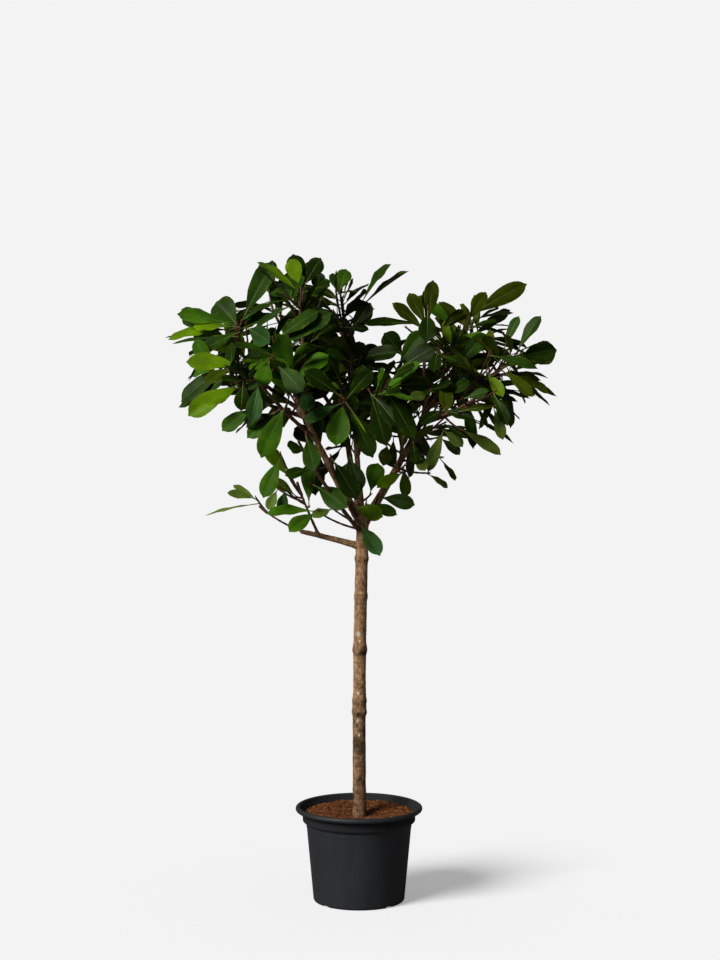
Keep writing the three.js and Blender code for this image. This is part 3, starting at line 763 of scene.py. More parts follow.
class Crown:
    # the sprays and leaves taken so far, and the limbs and box that the next ones keep to
    def __init__(self, beads, lowest, highest):
        self.beads = beads
        self.lowest = lowest
        self.highest = highest
        self.blades = np.zeros((leaf["most"], 4, 3))
        self.shown = np.zeros((0, 3))
        self.leaves = []
        self.sprays = []

    # takes a spray's leaves while it has room: clear of limbs and other leaves, inside the box;
    # a spray of the rule that keeps too few leaves is dropped
    def take(self, curve, radii, kind, limb, candidates, room, tone=None):
        number, taken = len(self.sprays), len(self.leaves)
        for row in candidates:
            blade = kiteOf(*row)
            if len(self.leaves) - taken < room and self.fits(blade, tone is None):
                self.blades[len(self.leaves)] = blade
                self.leaves.append((*row, number))
                if tone:
                    self.shown = np.concatenate([self.shown, innerPoints(blade)])
        if tone is None and 0 < room and len(self.leaves) - taken < leaf["fewest"]:
            del self.leaves[taken:]
            return
        self.sprays.append({"curve": curve, "radii": radii, "kind": kind, "limb": limb, "tone": tone})
        if len(self.leaves) - taken < room and tone:
            print("no room for every leaf on", limb, toPixel(curve[2]).round())

    # whether a blade stands before a leaf read from the photo, as the camera or the lamp sees it
    def hides(self, blade):
        toLamp = wayOf(lamp["turn"] + 180, lamp["fall"]) * leaf["shade"]
        ends = np.concatenate([np.broadcast_to(camera["place"], self.shown.shape), self.shown + toLamp])
        starts = np.concatenate([self.shown, self.shown])
        return pierces(starts[:, None], ends[:, None], blade[bladeFaces][None]).any()

    # whether a blade is inside the box and clear of limbs and leaves; one of the rule also keeps out of the
    # hollows, doesn't point too far forward or back, and hides no leaf read from the photo
    def fits(self, blade, byRule):
        if (blade < self.lowest).any() or (blade > self.highest).any():
            return False
        inner = np.concatenate([blade, innerPoints(blade)])
        if byRule:
            off = (toPixel(inner)[:, None] - hollows[:, :2]) / hollows[:, 2:]
            aim = unit(blade[3] - blade[0])
            foreAft = leaf["foreAft"][int(blade[0][0] > leaf["parting"])]
            if ((off**2).sum(axis=2) < 1).any() or abs(aim[1]) > foreAft or self.hides(blade):
                return False
        gaps = np.linalg.norm(inner[:, None] - self.beads[None, :, :3], axis=2) - self.beads[:, 3]
        if gaps.min() < leaf["margin"]:
            return False
        taken = self.blades[: len(self.leaves)]
        near = np.linalg.norm(taken.mean(axis=1) - blade.mean(axis=0), axis=1) < leaf["length"]
        return not near.any() or not bladeCrosses(blade, taken[near])


# whorls of leaf candidates up one shoot, as many rounds as the source draws
def whorls(shoot, leaves, phase, draw):
    rows = []
    for j in range(plant["leafRounds"] * leaves):
        age = 1 - (j % leaves) / (leaves - 1)
        rows.append(leafOn(shoot, age, phase + j * goldenTurn, draw))
    return rows


# a shoot from a curve, tipped by a spread and turned on round it, and its leaf candidates
def newShoot(curve, share, turn, spread, reach, lengths, leaves, draw):
    angle = math.radians(drawn(spread, draw))
    around = turn + plant["turnSpread"] * draw()
    length = reach * drawn(lengths, draw)
    way = tipped(curveWay(curve, share), angle, around)
    shoot = twigCurve(curvePoint(curve, share), way, length, plant["shootLift"])
    return shoot, whorls(shoot, leaves, 2 * math.pi * draw(), draw)


# no leaves yet: only the limbs' spheres, and the solids' box with a little room
def emptyCrown():
    beads = [beadsAlong(limbCurves["trunk"], *plant["trunkRadius"])]
    for name, *_, kind in limbRows:
        beads.append(beadsAlong(limbCurves[name], *limbKinds[kind][:2]))
    lowest, highest = (np.array(corner) / mm for corner in cadBox)
    return Crown(np.concatenate(beads), lowest - leaf["outside"], highest + leaf["outside"])


# the sprays read from the photo
def setSprays(crown):
    for limb, share, end, tone, tips in sprays:
        foot, end = curvePoint(limbCurves[limb], share), atPixel(*end)
        middle = lerp(foot, end, 0.5) - up * plant["spraySag"] * np.linalg.norm(end - foot)
        shoot = np.stack([foot, middle, end])
        rows = [leafTo(shoot, number, *tip) for number, tip in enumerate(tips)]
        crown.take(shoot, twig["shootRadius"], "shoot", limb, rows, len(rows), tone)


# the source's stem on each limb's tip, with shoots up it and a leader at its end
def growShoots(crown):
    for order, (name, *_, kind) in enumerate(limbRows):
        reach, shoots, leaves = limbKinds[kind][3:]
        if not shoots:
            continue
        room, *_ = twig["leaves"].get(name, twig["leaves"][kind])
        curve = limbCurves[name]
        draw = numberStream(plant["shootSeed"] + order)
        stem = twigCurve(curve[2], curveWay(curve, 1), plant["stemShare"] * reach, plant["stemLift"])
        crown.take(stem, twig["stemRadius"], "stem", name, [], 0)
        for k in range(shoots):
            share = lerp(plant["shootLowest"], 1, (k + 1) / shoots)
            spread = plant["leaderSpread"] if k == shoots - 1 else plant["shootSpread"]
            turn = k * goldenTurn + order
            shoot, rows = newShoot(stem, share, turn, spread, reach, plant["shootLength"], leaves, draw)
            if room:
                crown.take(shoot, twig["shootRadius"], "shoot", name, rows, room)


# finer twigs along each limb, below its stem
def growTwigs(crown):
    for order, (name, *_, kind) in enumerate(limbRows):
        draw = numberStream(plant["twigSeed"] + order)
        _, count, room = twig["leaves"].get(name, twig["leaves"][kind])
        curve, spread, lengths = limbCurves[name], twig["spread"], twig["length"]
        for k in range(count):
            share = lerp(twig["lowest"], 1, (k + 0.5) / count)
            turn = k * goldenTurn + order
            shoot, rows = newShoot(curve, share, turn, spread, 1, lengths, room, draw)
            crown.take(shoot, twig["twigRadius"], "finer", name, rows, room)


crown = emptyCrown()
setSprays(crown)
growShoots(crown)
growTwigs(crown)
print("crown grown:", len(crown.sprays), "twigs", len(crown.leaves), "leaves")


# Leaf tones: colours of the upper and of the under side, dealt out by spray. Several are painted light and
# shade:
# the darkest is a copy for leaves in shade, deep green also stands in for shade, the pale greyish one is a
# copy for lit, glossy leaves, and the lime one is young growth, dealt out also where leaves are lit.
leafTones = {
    # painted shade: the darkest tone, for leaves that lie in shade
    "shadowed": ((23, 40, 4), (44, 58, 10)),
    # deep green, dealt out also as painted shade inside the crown and at right
    "deep": ((36, 60, 12), (58, 74, 16)),
    "shade": ((44, 77, 34), (66, 86, 28)),
    "green": ((57, 96, 14), (78, 99, 20)),
    # lime of young growth, and painted light: dealt out also to make leaves brighter where they are lit
    "freshAndLit": ((84, 116, 8), (97, 122, 16)),
    "olive": ((50, 63, 5), (70, 82, 12)),
    # painted light: a paler, greyer copy for leaves that are lit and glossy
    "light": ((86, 108, 40), (96, 112, 46)),
}
# roughness of each side, and how much paler its veins are
leafSides = {"Upper": (0.4, 1.4), "Under": (0.65, 1.25)}
# tones of the rule's sprays by part of the crown, each with the chance below which it is taken: painted light
# and shade, brighter on the lit outer left and crest, darker inside and at right
litAndShadedToneChances = {
    "outer": (("freshAndLit", 0.25), ("green", 0.65), ("deep", 1)),
    "front": (("shade", 0.5), ("green", 0.75), ("deep", 1)),
    "right": (("olive", 0.34), ("deep", 0.7), ("shadowed", 1)),
    "inner": (("deep", 0.45), ("shadowed", 0.75), ("green", 0.9), ("olive", 1)),
}
# millimetres: X of the outer left, X and Z of the left crest, X and Y of the front, X of the right
crownParts = {"outer": -230, "crest": (-80, 1400), "front": (-70, -90), "right": 60}


# which tone a spray takes, as painted light and shade by place: lime on the lit outer left and the crest, the
# shade tone in front, olive and darker greens at right and inside
def toneOf(spray, draw):
    x, y, z = spray["curve"][2]
    chance = draw()
    if spray["tone"]:
        return spray["tone"]
    (crestX, crestZ), (frontX, frontY) = crownParts["crest"], crownParts["front"]
    if x < crownParts["outer"] or (x < crestX and z > crestZ):
        part = "outer"
    elif x < frontX and y < frontY:
        part = "front"
    else:
        part = "right" if x > crownParts["right"] else "inner"
    return next(tone for tone, below in litAndShadedToneChances[part] if chance < below)


# side veins: how many, their sweep towards the tip, fineness, fade at the rim, strength and added light
veins = {"count": 11, "sweep": 2.4, "fineness": 14, "fade": 0.7, "strength": 0.35, "lift": 8}


# a leaf's skin: two near tones in soft blotches, paler side veins and a fine bump
def leafSkin(name, colour, roughness, paler):
    made, wire, place, fill = newFinish(name)
    blotch = wire.noise(place, 16, 3).rises(0.3, 0.72)
    dark = paint(*(0.8 * part for part in colour))
    light = paint(*(min(1.2 * part, 255) for part in colour))
    spot = wire.add("ShaderNodeUVMap", {"uv_map": "leafMap"})
    across = abs(wire.axis(spot, "X") * 2 - 1)
    along = wire.axis(spot, "Y")
    vein = ((along * veins["count"] - across * veins["sweep"]) * (2 * math.pi)).cosine() * 0.5 + 0.5
    line = vein ** veins["fineness"] * (1 - across * veins["fade"])
    veined = paint(*(min(paler * part + veins["lift"], 255) for part in colour))
    grain = wire.noise(place, 900, 2)
    fill({
        "Base Color": (line * veins["strength"]).between(blotch.between(dark, light), veined),
        "Roughness": wire.noise(place, 60, 2) * 0.14 + (roughness - 0.07),
        "Normal": wire.bump(grain * 0.25 - line * 0.6, 0.35, 0.0008),
        "Specular IOR Level": 0.045,
    })
    return made


# blade outline by share of its length: t^1.1 (1 - t)^0.55 scaled to 1, with a narrow drip tip
def outline(t):
    end, footPower, tipPower, peak = leaf["body"]
    reach, half, least = leaf["drip"]
    body = np.clip(t / end, 0, 1)
    wide = body**footPower * (1 - body) ** tipPower / peak
    tip = np.clip((1 - t) / reach, 0, 1) * half
    return np.maximum(np.maximum(wide, tip), least)


# a leaf's midline at shares of its whole length, and the ways to its side and over it there
def spine(rows, along):
    root, aim, face, length, _, droop, twist = rows
    a = along[None, :, None]
    long, fall = length[:, None, None], droop[:, None, None]
    centre = root[:, None] + aim[:, None] * a * long - up * fall * long * a * a
    way = unit(aim[:, None] - up * 2 * fall * a)
    side = np.cross(face, aim)[:, None]
    side = unit(side - way * (side * way).sum(-1, keepdims=True))
    over = np.cross(way, side)
    turn = twist[:, None, None] * (a - leaf["twistFrom"])
    return centre, np.cos(turn) * side + np.sin(turn) * over, np.cos(turn) * over - np.sin(turn) * side


# blades over a grid of t along and s across: midline + side * s * half
# + over * half * (fold * |s| - cup * s^2 + wave * sin t * s^2), two skins that meet at the rim
def blades(rows, dice):
    t = np.array(leaf["stations"])
    s = np.linspace(-1, 1, leaf["lines"])
    centre, side, over = spine(rows, lerp(leaf["petiole"], 1, t))
    half = rows[4][:, None] / 2 * outline(t)
    fold = np.radians(leaf["fold"][0] + leaf["fold"][1] * dice[:, 0])[:, None, None]
    waves, shift = leaf["ripple"]
    ripple = np.sin(2 * math.pi * (waves * t[None, :, None] + dice[:, 1][:, None, None]) + shift * s)
    rise = np.sin(fold) * np.abs(s) + (leaf["wave"] * ripple - leaf["cup"]) * s * s
    aside = side[:, :, None] * s[:, None] * np.cos(fold)[..., None]
    middle = centre[:, :, None] + half[..., None, None] * (aside + over[:, :, None] * rise[..., None])
    swell = leaf["thick"] / 2 * (1 - s * s) * (1 - (2 * t[:, None] - 1) ** leaf["fullness"])
    lift = over[:, :, None] * swell[None, :, :, None]
    whole = np.stack([middle + lift, middle - lift], axis=1).reshape(len(centre), -1, 3)
    index = np.arange(len(t) * len(s)).reshape(len(t), len(s))
    quads = np.stack([index[:-1, :-1], index[1:, :-1], index[1:, 1:], index[:-1, 1:]], axis=-1).reshape(-1, 4)
    faces = np.concatenate([quads, quads[:, ::-1] + index.size])
    shifts = np.arange(len(centre))[:, None, None] * whole.shape[1]
    spots = np.stack(np.broadcast_arrays((s[None, :] + 1) / 2, t[:, None]), axis=-1).reshape(-1, 2)
    finishOf = np.tile(np.repeat([0, 1], len(quads)), len(centre))
    spots = np.tile(spots, (2 * len(centre), 1))
    return whole.reshape(-1, 3), [(faces + shifts).reshape(-1, 4)], finishOf, spots


# the chosen leaves' values as columns, with a twist for each
def leafRows(chosen):
    columns = [np.array(column, float) for column in zip(*chosen)]
    twist = np.radians(leaf["twist"]) * np.sin(columns[3] * leaf["twistSpin"])
    return (*columns[:6], twist)


# Ribs: shares of the leaf's length and the radius at each, in millimetres.
rib = {
    "along": (-0.015, 0.05, leaf["petiole"], 0.3, 0.5, 0.7, 0.86, 0.97),
    "radii": (2.0, 1.5, 1.2, 0.85, 0.7, 0.58, 0.45, 0.3),
    "proud": 0.1,
    "sides": 5,
}


# petiole and midrib: a tapering bar along each midline, a little proud of the upper skin
def ribs(rows):
    centre, _, over = spine(rows, np.array(rib["along"]))
    radii = np.broadcast_to(rib["radii"], centre.shape[:2])
    return tubes(centre + over * rib["proud"], radii, rib["sides"])


def makeFoliage():
    draw = numberStream(plant["toneSeed"])
    tones = [toneOf(spray, draw) for spray in crown.sprays]
    spin, scale = leaf["diceSpin"]
    for tone, colours in leafTones.items():
        chosen = [row for row in crown.leaves if tones[row[6]] == tone]
        sides = zip(leafSides.items(), colours)
        skins = [leafSkin(tone + side, colour, *look) for (side, look), colour in sides]
        rows = leafRows(chosen)
        dice = np.modf(np.abs(np.sin(rows[0] * spin) * scale))[0]
        points, faceSets, finishOf, spots = blades(rows, dice)
        limbs = sorted({crown.sprays[row[6]]["limb"] for row in chosen})
        stands = [name + "_foliage" for name in limbs if name + "_foliage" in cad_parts]
        makePiece("leaves_" + tone, points, faceSets, skins, "foliage", stands, finishOf, {"leafMap": spots})
    points, faceSets = ribs(leafRows(crown.leaves))
    makePiece("leaf_ribs", points, faceSets, [ribSkin()], "foliage")


# pale yellow-green stalks and midribs
def ribSkin():
    made, wire, place, fill = newFinish("leafRib")
    shift = wire.noise(place, 40, 2).rises(0.3, 0.7)
    fill({
        "Base Color": shift.between(paint(72, 94, 28), paint(106, 124, 42)),
        "Roughness": 0.5,
        "Normal": wire.bump(wire.noise(place, 700, 2), 0.3, 0.0006),
    })
    return made


makeFoliage()


# Twigs: older ones brown, young shoots red-brown with a pair of sheaths at the tip.
def twigSkin(name, dark, light):
    made, wire, place, fill = newFinish(name)
    mottle = wire.noise(place, 120, 4, 0.65).rises(0.32, 0.68)
    fine = wire.noise(place, 800, 3)
    fill({
        "Base Color": mottle.between(paint(*dark), paint(*light)),
        "Roughness": fine * 0.2 + 0.55,
        "Normal": wire.bump(fine + mottle, 0.5, 0.0012),
    })
    return made


# bars along the twigs' curves, with a leaf scar's swelling every few millimetres
def twigBars(chosen):
    shares = np.linspace(0, 1, twig["rings"])
    paths = np.stack([curvePoint(spray["curve"], shares) for spray in chosen])
    radii = np.stack([lerp(*spray["radii"], shares) for spray in chosen])
    height, halves = twig["scars"]
    return tubes(paths, radii * (1 + height * np.cos(shares * halves * math.pi)), twig["sides"])


# Bud sheaths: millimetres from the shoot's end, the radius there, and the lean in degrees.
bud = {"along": (-2, 2, 5, 8, 11), "radii": (1.5, 1.8, 1.5, 0.9, 0.25), "lean": 14, "sides": 6}


# slender cones from a shoot's end, tipped to either side
def sheaths(chosen):
    paths = []
    for number, spray in enumerate(chosen):
        tip, way = spray["curve"][2], curveWay(spray["curve"], 1)
        for turn in (0.0, math.pi):
            aim = tipped(way, math.radians(bud["lean"]), number * goldenTurn + turn)
            paths.append(tip + aim * np.array(bud["along"])[:, None])
    radii = np.broadcast_to(bud["radii"], (len(paths), len(bud["radii"])))
    return tubes(np.stack(paths), radii, bud["sides"])


def makeTwigs():
    old = [spray for spray in crown.sprays if spray["kind"] == "stem"]
    young = [spray for spray in crown.sprays if spray["kind"] != "stem"]
    stands = [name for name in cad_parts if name.endswith("_foliage")]
    brown = twigSkin("twigBrown", (58, 38, 26), (104, 76, 54))
    red = twigSkin("twigRed", (46, 22, 15), (84, 44, 28))
    sheath = twigSkin("sheathRed", (78, 34, 18), (122, 62, 32))
    makePiece("twigs_brown", *twigBars(old), [brown], "bark", stands)
    makePiece("shoots_red", *twigBars(young), [red], "bark", stands)
    makePiece("bud_sheaths", *sheaths(young), [sheath], "foliage")


makeTwigs()


# Bark: trunk and boughs fused into one skin with knuckles, leaf scars and a rough relief. Millimetres.
bark = {
    "flare": (1.5, 22),  # at the soil, and the height over which it fades
    "knuckles": ((240, 2.8), (254, 1.2), (268, 2.4), (387, 2.6), (397, 1.2), (515, 1.6), (605, 2.2)),
    "knuckleWidth": 7,
    "dome": (14, 0.98),  # height of the rounded top, and how far up it the skin is closed
    "sunk": 30,  # into the soil
    "step": 3,
    "sides": 22,
    "voxel": 1.8,
    "ease": (0.5, 4),  # strength and rounds of smoothing
    "collar": (0.4, 15),  # share of the foot's radius, and the length over which it fades
    "scars": (0.5, 31, 2.4, 9),  # height, spacing, width and first shift
    "relief": ((0.5, (11, 11, 26)), (0.35, (4.5, 4.5, 7)), (0.18, (2.2, 2.2, 2.6))),
    "reliefSeed": 5,
    "limbRelief": 0.55,  # share of the trunk's
    "trunkSkin": (2, 26),  # the trunk's place along X, and the reach of its skin
    # height, place across the front and size of the pale scars
    "pale": ((638, -4, 5), (621, -1, 2.6), (497, -3, 3.4), (433, -4, 4), (398, -1, 2.8)),
    "paleFront": 15.5,  # before the trunk's line
    "paleStretch": (1, 1.6, 1.2),
    "paleRagged": (1.35, 1.1, 2.6, 91),  # strength, strength of the noise, its grain and its seed
    "dark": (290, 190, 0.72),  # heights over the soil between which the lower trunk darkens, and how far
    "soilDark": (0.4, 45),  # darkness at the soil, and its height
    "knuckleDark": (0.3, 3, 9),  # darkness for a swell, drop below it and width
    "young": (24, 12),  # points along a limb, and the lead at which it counts as nearest
}


# trunk radius by height over the soil: taper + flare * e^(-height / fade) + a bell at each knuckle
def trunkRadius(height):
    flare, fade = bark["flare"]
    radius = lerp(*plant["trunkRadius"], height / plant["forkHeight"])
    radius = radius + flare * np.exp(-np.maximum(height, 0) / fade)
    for middle, swell in bark["knuckles"]:
        radius = radius + swell * np.exp(-(((height - middle) / bark["knuckleWidth"]) ** 2))
    dome, closed = bark["dome"]
    inTop = np.clip((height - plant["forkHeight"] + dome) / dome, 0, closed)
    return radius * np.sqrt(1 - inTop**2)


# limb radius along its length: taper + a collar at the foot + a low ridge at every leaf scar
def limbRadius(shares, length, foot, tip):
    run = shares * length
    rise, fade = bark["collar"]
    height, apart, width, first = bark["scars"]
    ridge = height * np.exp(-(((run + first) % apart - apart / 2) / width) ** 2)
    return lerp(foot, tip, shares) + foot * rise * np.exp(-run / fade) + ridge


# a tube along the trunk, from a little way into the soil, and one along each limb
def barkTubes():
    trunk = limbCurves["trunk"]
    whole = trunk[2][2] - trunk[0][2]
    lowest = (plant["trunkStep"] - bark["sunk"]) / whole
    shares = np.linspace(lowest, 1, int(whole / bark["step"]))
    path = curvePoint(trunk, shares)
    parts = [tubes(path[None], trunkRadius(path[:, 2] - plant["soilTop"])[None], bark["sides"])]
    for name, *_, kind in limbRows:
        curve = limbCurves[name]
        length = curveLength(curve)
        foot, tip = limbKinds[kind][:2]
        shares = np.linspace(0, 1, int(length / bark["step"]) + 2)
        radii = limbRadius(shares, length, slenderFoot.get(name, foot), tip)
        parts.append(tubes(curvePoint(curve, shares)[None], radii[None], bark["sides"]))
    return joined(parts)


# true where a point belongs to the trunk rather than to a bough
def onTrunk(points):
    axis, reach = bark["trunkSkin"]
    return np.hypot(points[:, 0] - axis, points[:, 1]) < reach


# pale scars on the trunk's front: a bell round each, ragged by noise
def paleMask(points):
    mask = np.zeros(len(points))
    low, long = plant["soilTop"] - plant["trunkStep"], plant["forkHeight"] + plant["trunkStep"]
    for height, aside, size in bark["pale"]:
        middle = curvePoint(limbCurves["trunk"], (height - low) / long)
        spot = np.array((middle[0] + aside, middle[1] - bark["paleFront"], height))
        off = (points - spot) / (size * np.array(bark["paleStretch"]))
        mask = np.maximum(mask, np.exp(-(off**2).sum(axis=1)))
    strength, noise, grain, seed = bark["paleRagged"]
    return np.clip(mask * (strength + noise * lattice(points / grain, seed)), 0, 1)


# dark bands on the trunk: a bell at each knuckle, one at the soil and the whole lower length
def bandMask(points):
    height = points[:, 2] - plant["soilTop"]
    high, low, share = bark["dark"]
    soilDark, soilDarkHeight = bark["soilDark"]
    dark, drop, width = bark["knuckleDark"]
    mask = share * np.clip((high - height) / (high - low), 0, 1)
    mask = mask + soilDark * np.exp(-((height / soilDarkHeight) ** 2))
    for middle, swell in bark["knuckles"]:
        mask = np.maximum(mask, dark * swell * np.exp(-(((height - middle + drop) / width) ** 2)))
    return np.clip(mask, 0, 1) * onTrunk(points)


# 1 where the nearest limb is a side limb, 0 on the trunk and main boughs
def youngMask(points):
    old, young = np.full(len(points), np.inf), np.full(len(points), np.inf)
    kinds = {"trunk": "main", **{name: kind for name, *_, kind in limbRows}}
    count, lead = bark["young"]
    for name, kind in kinds.items():
        line = curvePoint(limbCurves[name], np.linspace(0, 1, count))
        near = np.linalg.norm(points[:, None] - line[None], axis=2).min(axis=1)
        if kind in ("main", "cut"):
            old = np.minimum(old, near)
        else:
            young = np.minimum(young, near)
    return np.clip((old - young) / lead, 0, 1)


def barkSkin():
    made, wire, place, fill = newFinish("figBark")
    mottle = wire.noise(wire.stretched(place, (1, 1, 0.7)), 130, 6, 0.7).rises(0.34, 0.66)
    ring = wire.noise(wire.stretched(place, (0.25, 0.25, 3)), 70, 3, 0.6).rises(0.36, 0.64)
    streak = wire.noise(wire.stretched(place, (1, 1, 0.12)), 150, 3, 0.6).rises(0.34, 0.66)
    patch = wire.noise(place, 42, 4, 0.66).rises(0.47, 0.6)
    fleck = wire.noise(place, 420, 3, 0.6)
    pale, band, young = (wire.mask(name) for name in ("pale", "band", "young"))
    brown = (mottle * 0.56 + streak * 0.28 + ring * 0.16).between(paint(80, 50, 32), paint(222, 176, 130))
    specked = (fleck.rises(0.46, 0.7) * 0.55).between(brown, paint(62, 42, 28))
    dimmed = (band * 0.55).between(specked, paint(72, 46, 28))
    shaded = (patch * (0.2 + band * 0.8)).between(dimmed, paint(40, 34, 20))
    reddish = (young * 0.75).between(shaded, mottle.between(paint(48, 26, 18), paint(84, 50, 34)))
    fill({
        "Base Color": pale.rises(0.3, 0.8).between(reddish, paint(206, 204, 188)),
        "Roughness": fleck * 0.2 + 0.66,
        "Normal": wire.bump(fleck * 0.6 + mottle * 0.8, 0.7, 0.0022),
        "Specular IOR Level": 0.3,
    })
    return made


# the fused skin: the tubes remeshed by volume, smoothed, then pushed out along its normals by noise
def makeBark():
    rough = makePiece("bark_core", *barkTubes(), [])
    skin = rough.modifiers.new("skin", "REMESH")
    skin.mode = "VOXEL"
    skin.voxel_size = bark["voxel"] * mm
    ease = rough.modifiers.new("ease", "SMOOTH")
    ease.factor, ease.iterations = bark["ease"]
    graph = bpy.context.evaluated_depsgraph_get()
    mesh = bpy.data.meshes.new_from_object(rough.evaluated_get(graph))
    bpy.data.objects.remove(rough)
    points, normals = np.zeros((2, len(mesh.vertices), 3), np.float32)
    mesh.vertices.foreach_get("co", points.ravel())
    mesh.vertices.foreach_get("normal", normals.ravel())
    points = points.astype(float) / mm
    thin = np.where(onTrunk(points), 1.0, bark["limbRelief"])
    for seed, (height, grain) in enumerate(bark["relief"], bark["reliefSeed"]):
        points = points + normals * (height * thin * lattice(points / grain, seed))[:, None]
    mesh.vertices.foreach_set("co", (points * mm).astype(np.float32).ravel())
    for key, mask in (("pale", paleMask), ("band", bandMask), ("young", youngMask)):
        values = mask(points)
        mesh.attributes.new(key, "FLOAT", "POINT").data.foreach_set("value", values.astype(np.float32))
    mesh.materials.clear()
    mesh.materials.append(barkSkin())
    mesh.shade_smooth()
    mesh.update()
    mesh.name = "bark"
    piece = newObject("bark", mesh)
    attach(piece, "root")
    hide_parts("trunk", *[name + "_bough" for name, *_ in limbRows])
    print("bark", len(points), "points", len(mesh.loops) - 2 * len(mesh.polygons), "triangles")


makeBark()


# Pot: a turned tub, tapered, with a stepped collar, a rolled rim and drain notches in the foot. Millimetres.
pot = {
    "segments": 180,
    "foot": 108,
    "bevel": (4, 1.4),  # its size, and how far its middle lies from the corner
    "underside": (5, 50, 92),  # radii of its rings
    "footRing": 3,  # from the last ring to the bevel
    "wallTop": (124.5, 185),  # radius and height, as in collar and rim
    "wallRings": (0.02, 1, 44),  # shares of the wall's height from first to last, and how many
    "bead": (178, 0.8, 2.2),  # height, swell and width
    "collar": (133, 192),
    "step": ((1.2, 0.8), (-1.6, -1.8)),  # out from the wall's top, and in from the collar's foot
    "neck": ((0.4, 200), (0.8, 210), (1.4, 213.4)),  # out from the collar, and height
    "rim": (144, 220, 6),  # with the circle's own radius
    "rimArc": (-100, 165, 22),  # degrees from first to last, and how many points
    "throat": ((3, 215.5), (1, 212)),  # out from the collar, outside and inside, and height
    "thick": 2.5,
    "floor": 4,
    "notches": (4, 42, 11, 3.2),  # count, first turn in degrees, half width and height
    "notchReach": (14, 8),  # how far in from the foot, and through how many rings of the profile
    # metres, between which the dust low down fades out, and the painted shade inside begins and ends
    "dustFade": (0.004, 0.05),
    "paintedShadeFrom": (0.19, 0.2),
    "paintedShadeWithin": (0.138, 0.143),
}


# radius and height pairs up the outside, round the rim's circle and down the inside
def potProfile():
    foot, thick, floor, hub = pot["foot"], pot["thick"], pot["floor"], pot["underside"][0]
    (bevel, corner), (middle, swell, width) = pot["bevel"], pot["bead"]
    (wallRadius, wallTop), (collarRadius, collarFoot) = pot["wallTop"], pot["collar"]
    rimRadius, rimHeight, roll = pot["rim"]
    under = [(radius, 0) for radius in (*pot["underside"], foot - bevel - pot["footRing"], foot - bevel)]
    under += [(foot - corner, corner), (foot, bevel)]
    share = np.linspace(*pot["wallRings"])
    height = lerp(bevel, wallTop, share)
    wall = lerp(foot, wallRadius, share) + swell * np.exp(-(((height - middle) / width) ** 2))
    (out, rise), (back, drop) = pot["step"]
    step = [(wallRadius + out, wallTop + rise), (collarRadius + back, collarFoot + drop), pot["collar"]]
    neck = [(collarRadius + out, rise) for out, rise in pot["neck"]]
    angle = np.radians(np.linspace(*pot["rimArc"]))
    rim = np.column_stack([rimRadius + roll * np.cos(angle), rimHeight + roll * np.sin(angle)])
    (mouth, mouthHeight), (throat, throatHeight) = pot["throat"]
    inside = [
        (collarRadius + mouth, mouthHeight),
        (collarRadius + throat - thick, throatHeight),
        (collarRadius - thick, collarFoot),
        (wallRadius - thick, wallTop),
        (foot - thick, floor),
        (hub, floor),
    ]
    return np.concatenate([under, np.column_stack([wall, height]), step, neck, rim, inside])


# the profile turned round Z; near the floor the points in a notch are lifted to its height
def makePot():
    profile = potProfile()
    angles = roundAngles(pot["segments"])
    radius, height = profile[:, :1], np.repeat(profile[:, 1:], len(angles), axis=1)
    count, first, half, lift = pot["notches"]
    reach, rings = pot["notchReach"]
    apart = 2 * math.pi / count
    off = np.abs((angles - math.radians(first) + apart / 2) % apart - apart / 2) * pot["foot"]
    inNotch = (off < half) & (radius > pot["foot"] - reach) & (np.arange(len(profile)) < rings)[:, None]
    height = np.where(inNotch, np.maximum(height, lift), height)
    points = np.stack([radius * np.cos(angles), radius * np.sin(angles), height], axis=-1)
    makePiece("pot_shell", *turned(points), [potSkin()], "pot", ["pot"])


# charcoal moulded plastic: a fine grain, faint flow marks, a little dust, more of it low down, and
# painted shade inside: the inner wall darkened, and made rougher
def potSkin():
    made, wire, place, fill = newFinish("potCharcoal")
    flow = wire.noise(wire.stretched(place, (1, 1, 0.18)), 28, 4).rises(0.3, 0.75)
    grain = wire.noise(place, 1600, 2)
    dust = wire.noise(place, 55, 5, 0.7).rises(0.52, 0.8)
    high = wire.axis(place, "Z")
    low = 1 - high.rises(*pot["dustFade"])
    wide = wire.distance(wire.stretched(place, (1, 1, 0)))
    # painted shade: the inner wall above the soil is darkened towards near black, standing in for the shade
    # inside the pot
    inside = high.rises(*pot["paintedShadeFrom"]) * (1 - wide.rises(*pot["paintedShadeWithin"]))
    outer = flow.between(paint(31, 34, 40), paint(37, 40, 46))
    base = (inside * 0.6).between(outer, paint(12, 13, 15))
    fill({
        "Base Color": (dust * (0.05 + low * 0.12)).between(base, paint(80, 78, 76)),
        "Roughness": grain * 0.1 + flow * 0.08 + 0.5 + inside * 0.3,
        "Normal": wire.bump(grain, 0.18, 0.0004),
        "Specular IOR Level": 0.4,
    })
    return made


makePot()


# Soil: a plug of brown potting fibre with loose fibres and chips on it. Millimetres, shares of its radius.
soil = {
    "radius": 130.2,
    "hub": 4,
    "top": 210,
    "bottom": 193,
    "mound": (2.0, 0.6, 0.25),  # height, and middle and width as shares
    "fall": (2.5, 0.8, 0.2),  # depth at the wall, and start and width as shares
    "dip": (9, 62),  # depth and width of the hollow round the trunk
    "slope": 0.03,  # fall towards the front
    "rough": ((1.5, 16, 3), (1.1, 5.5, 4), (0.6, 2.4, 6)),  # height, grain and seed of each noise
    "segments": 150,
    "rings": 64,
}


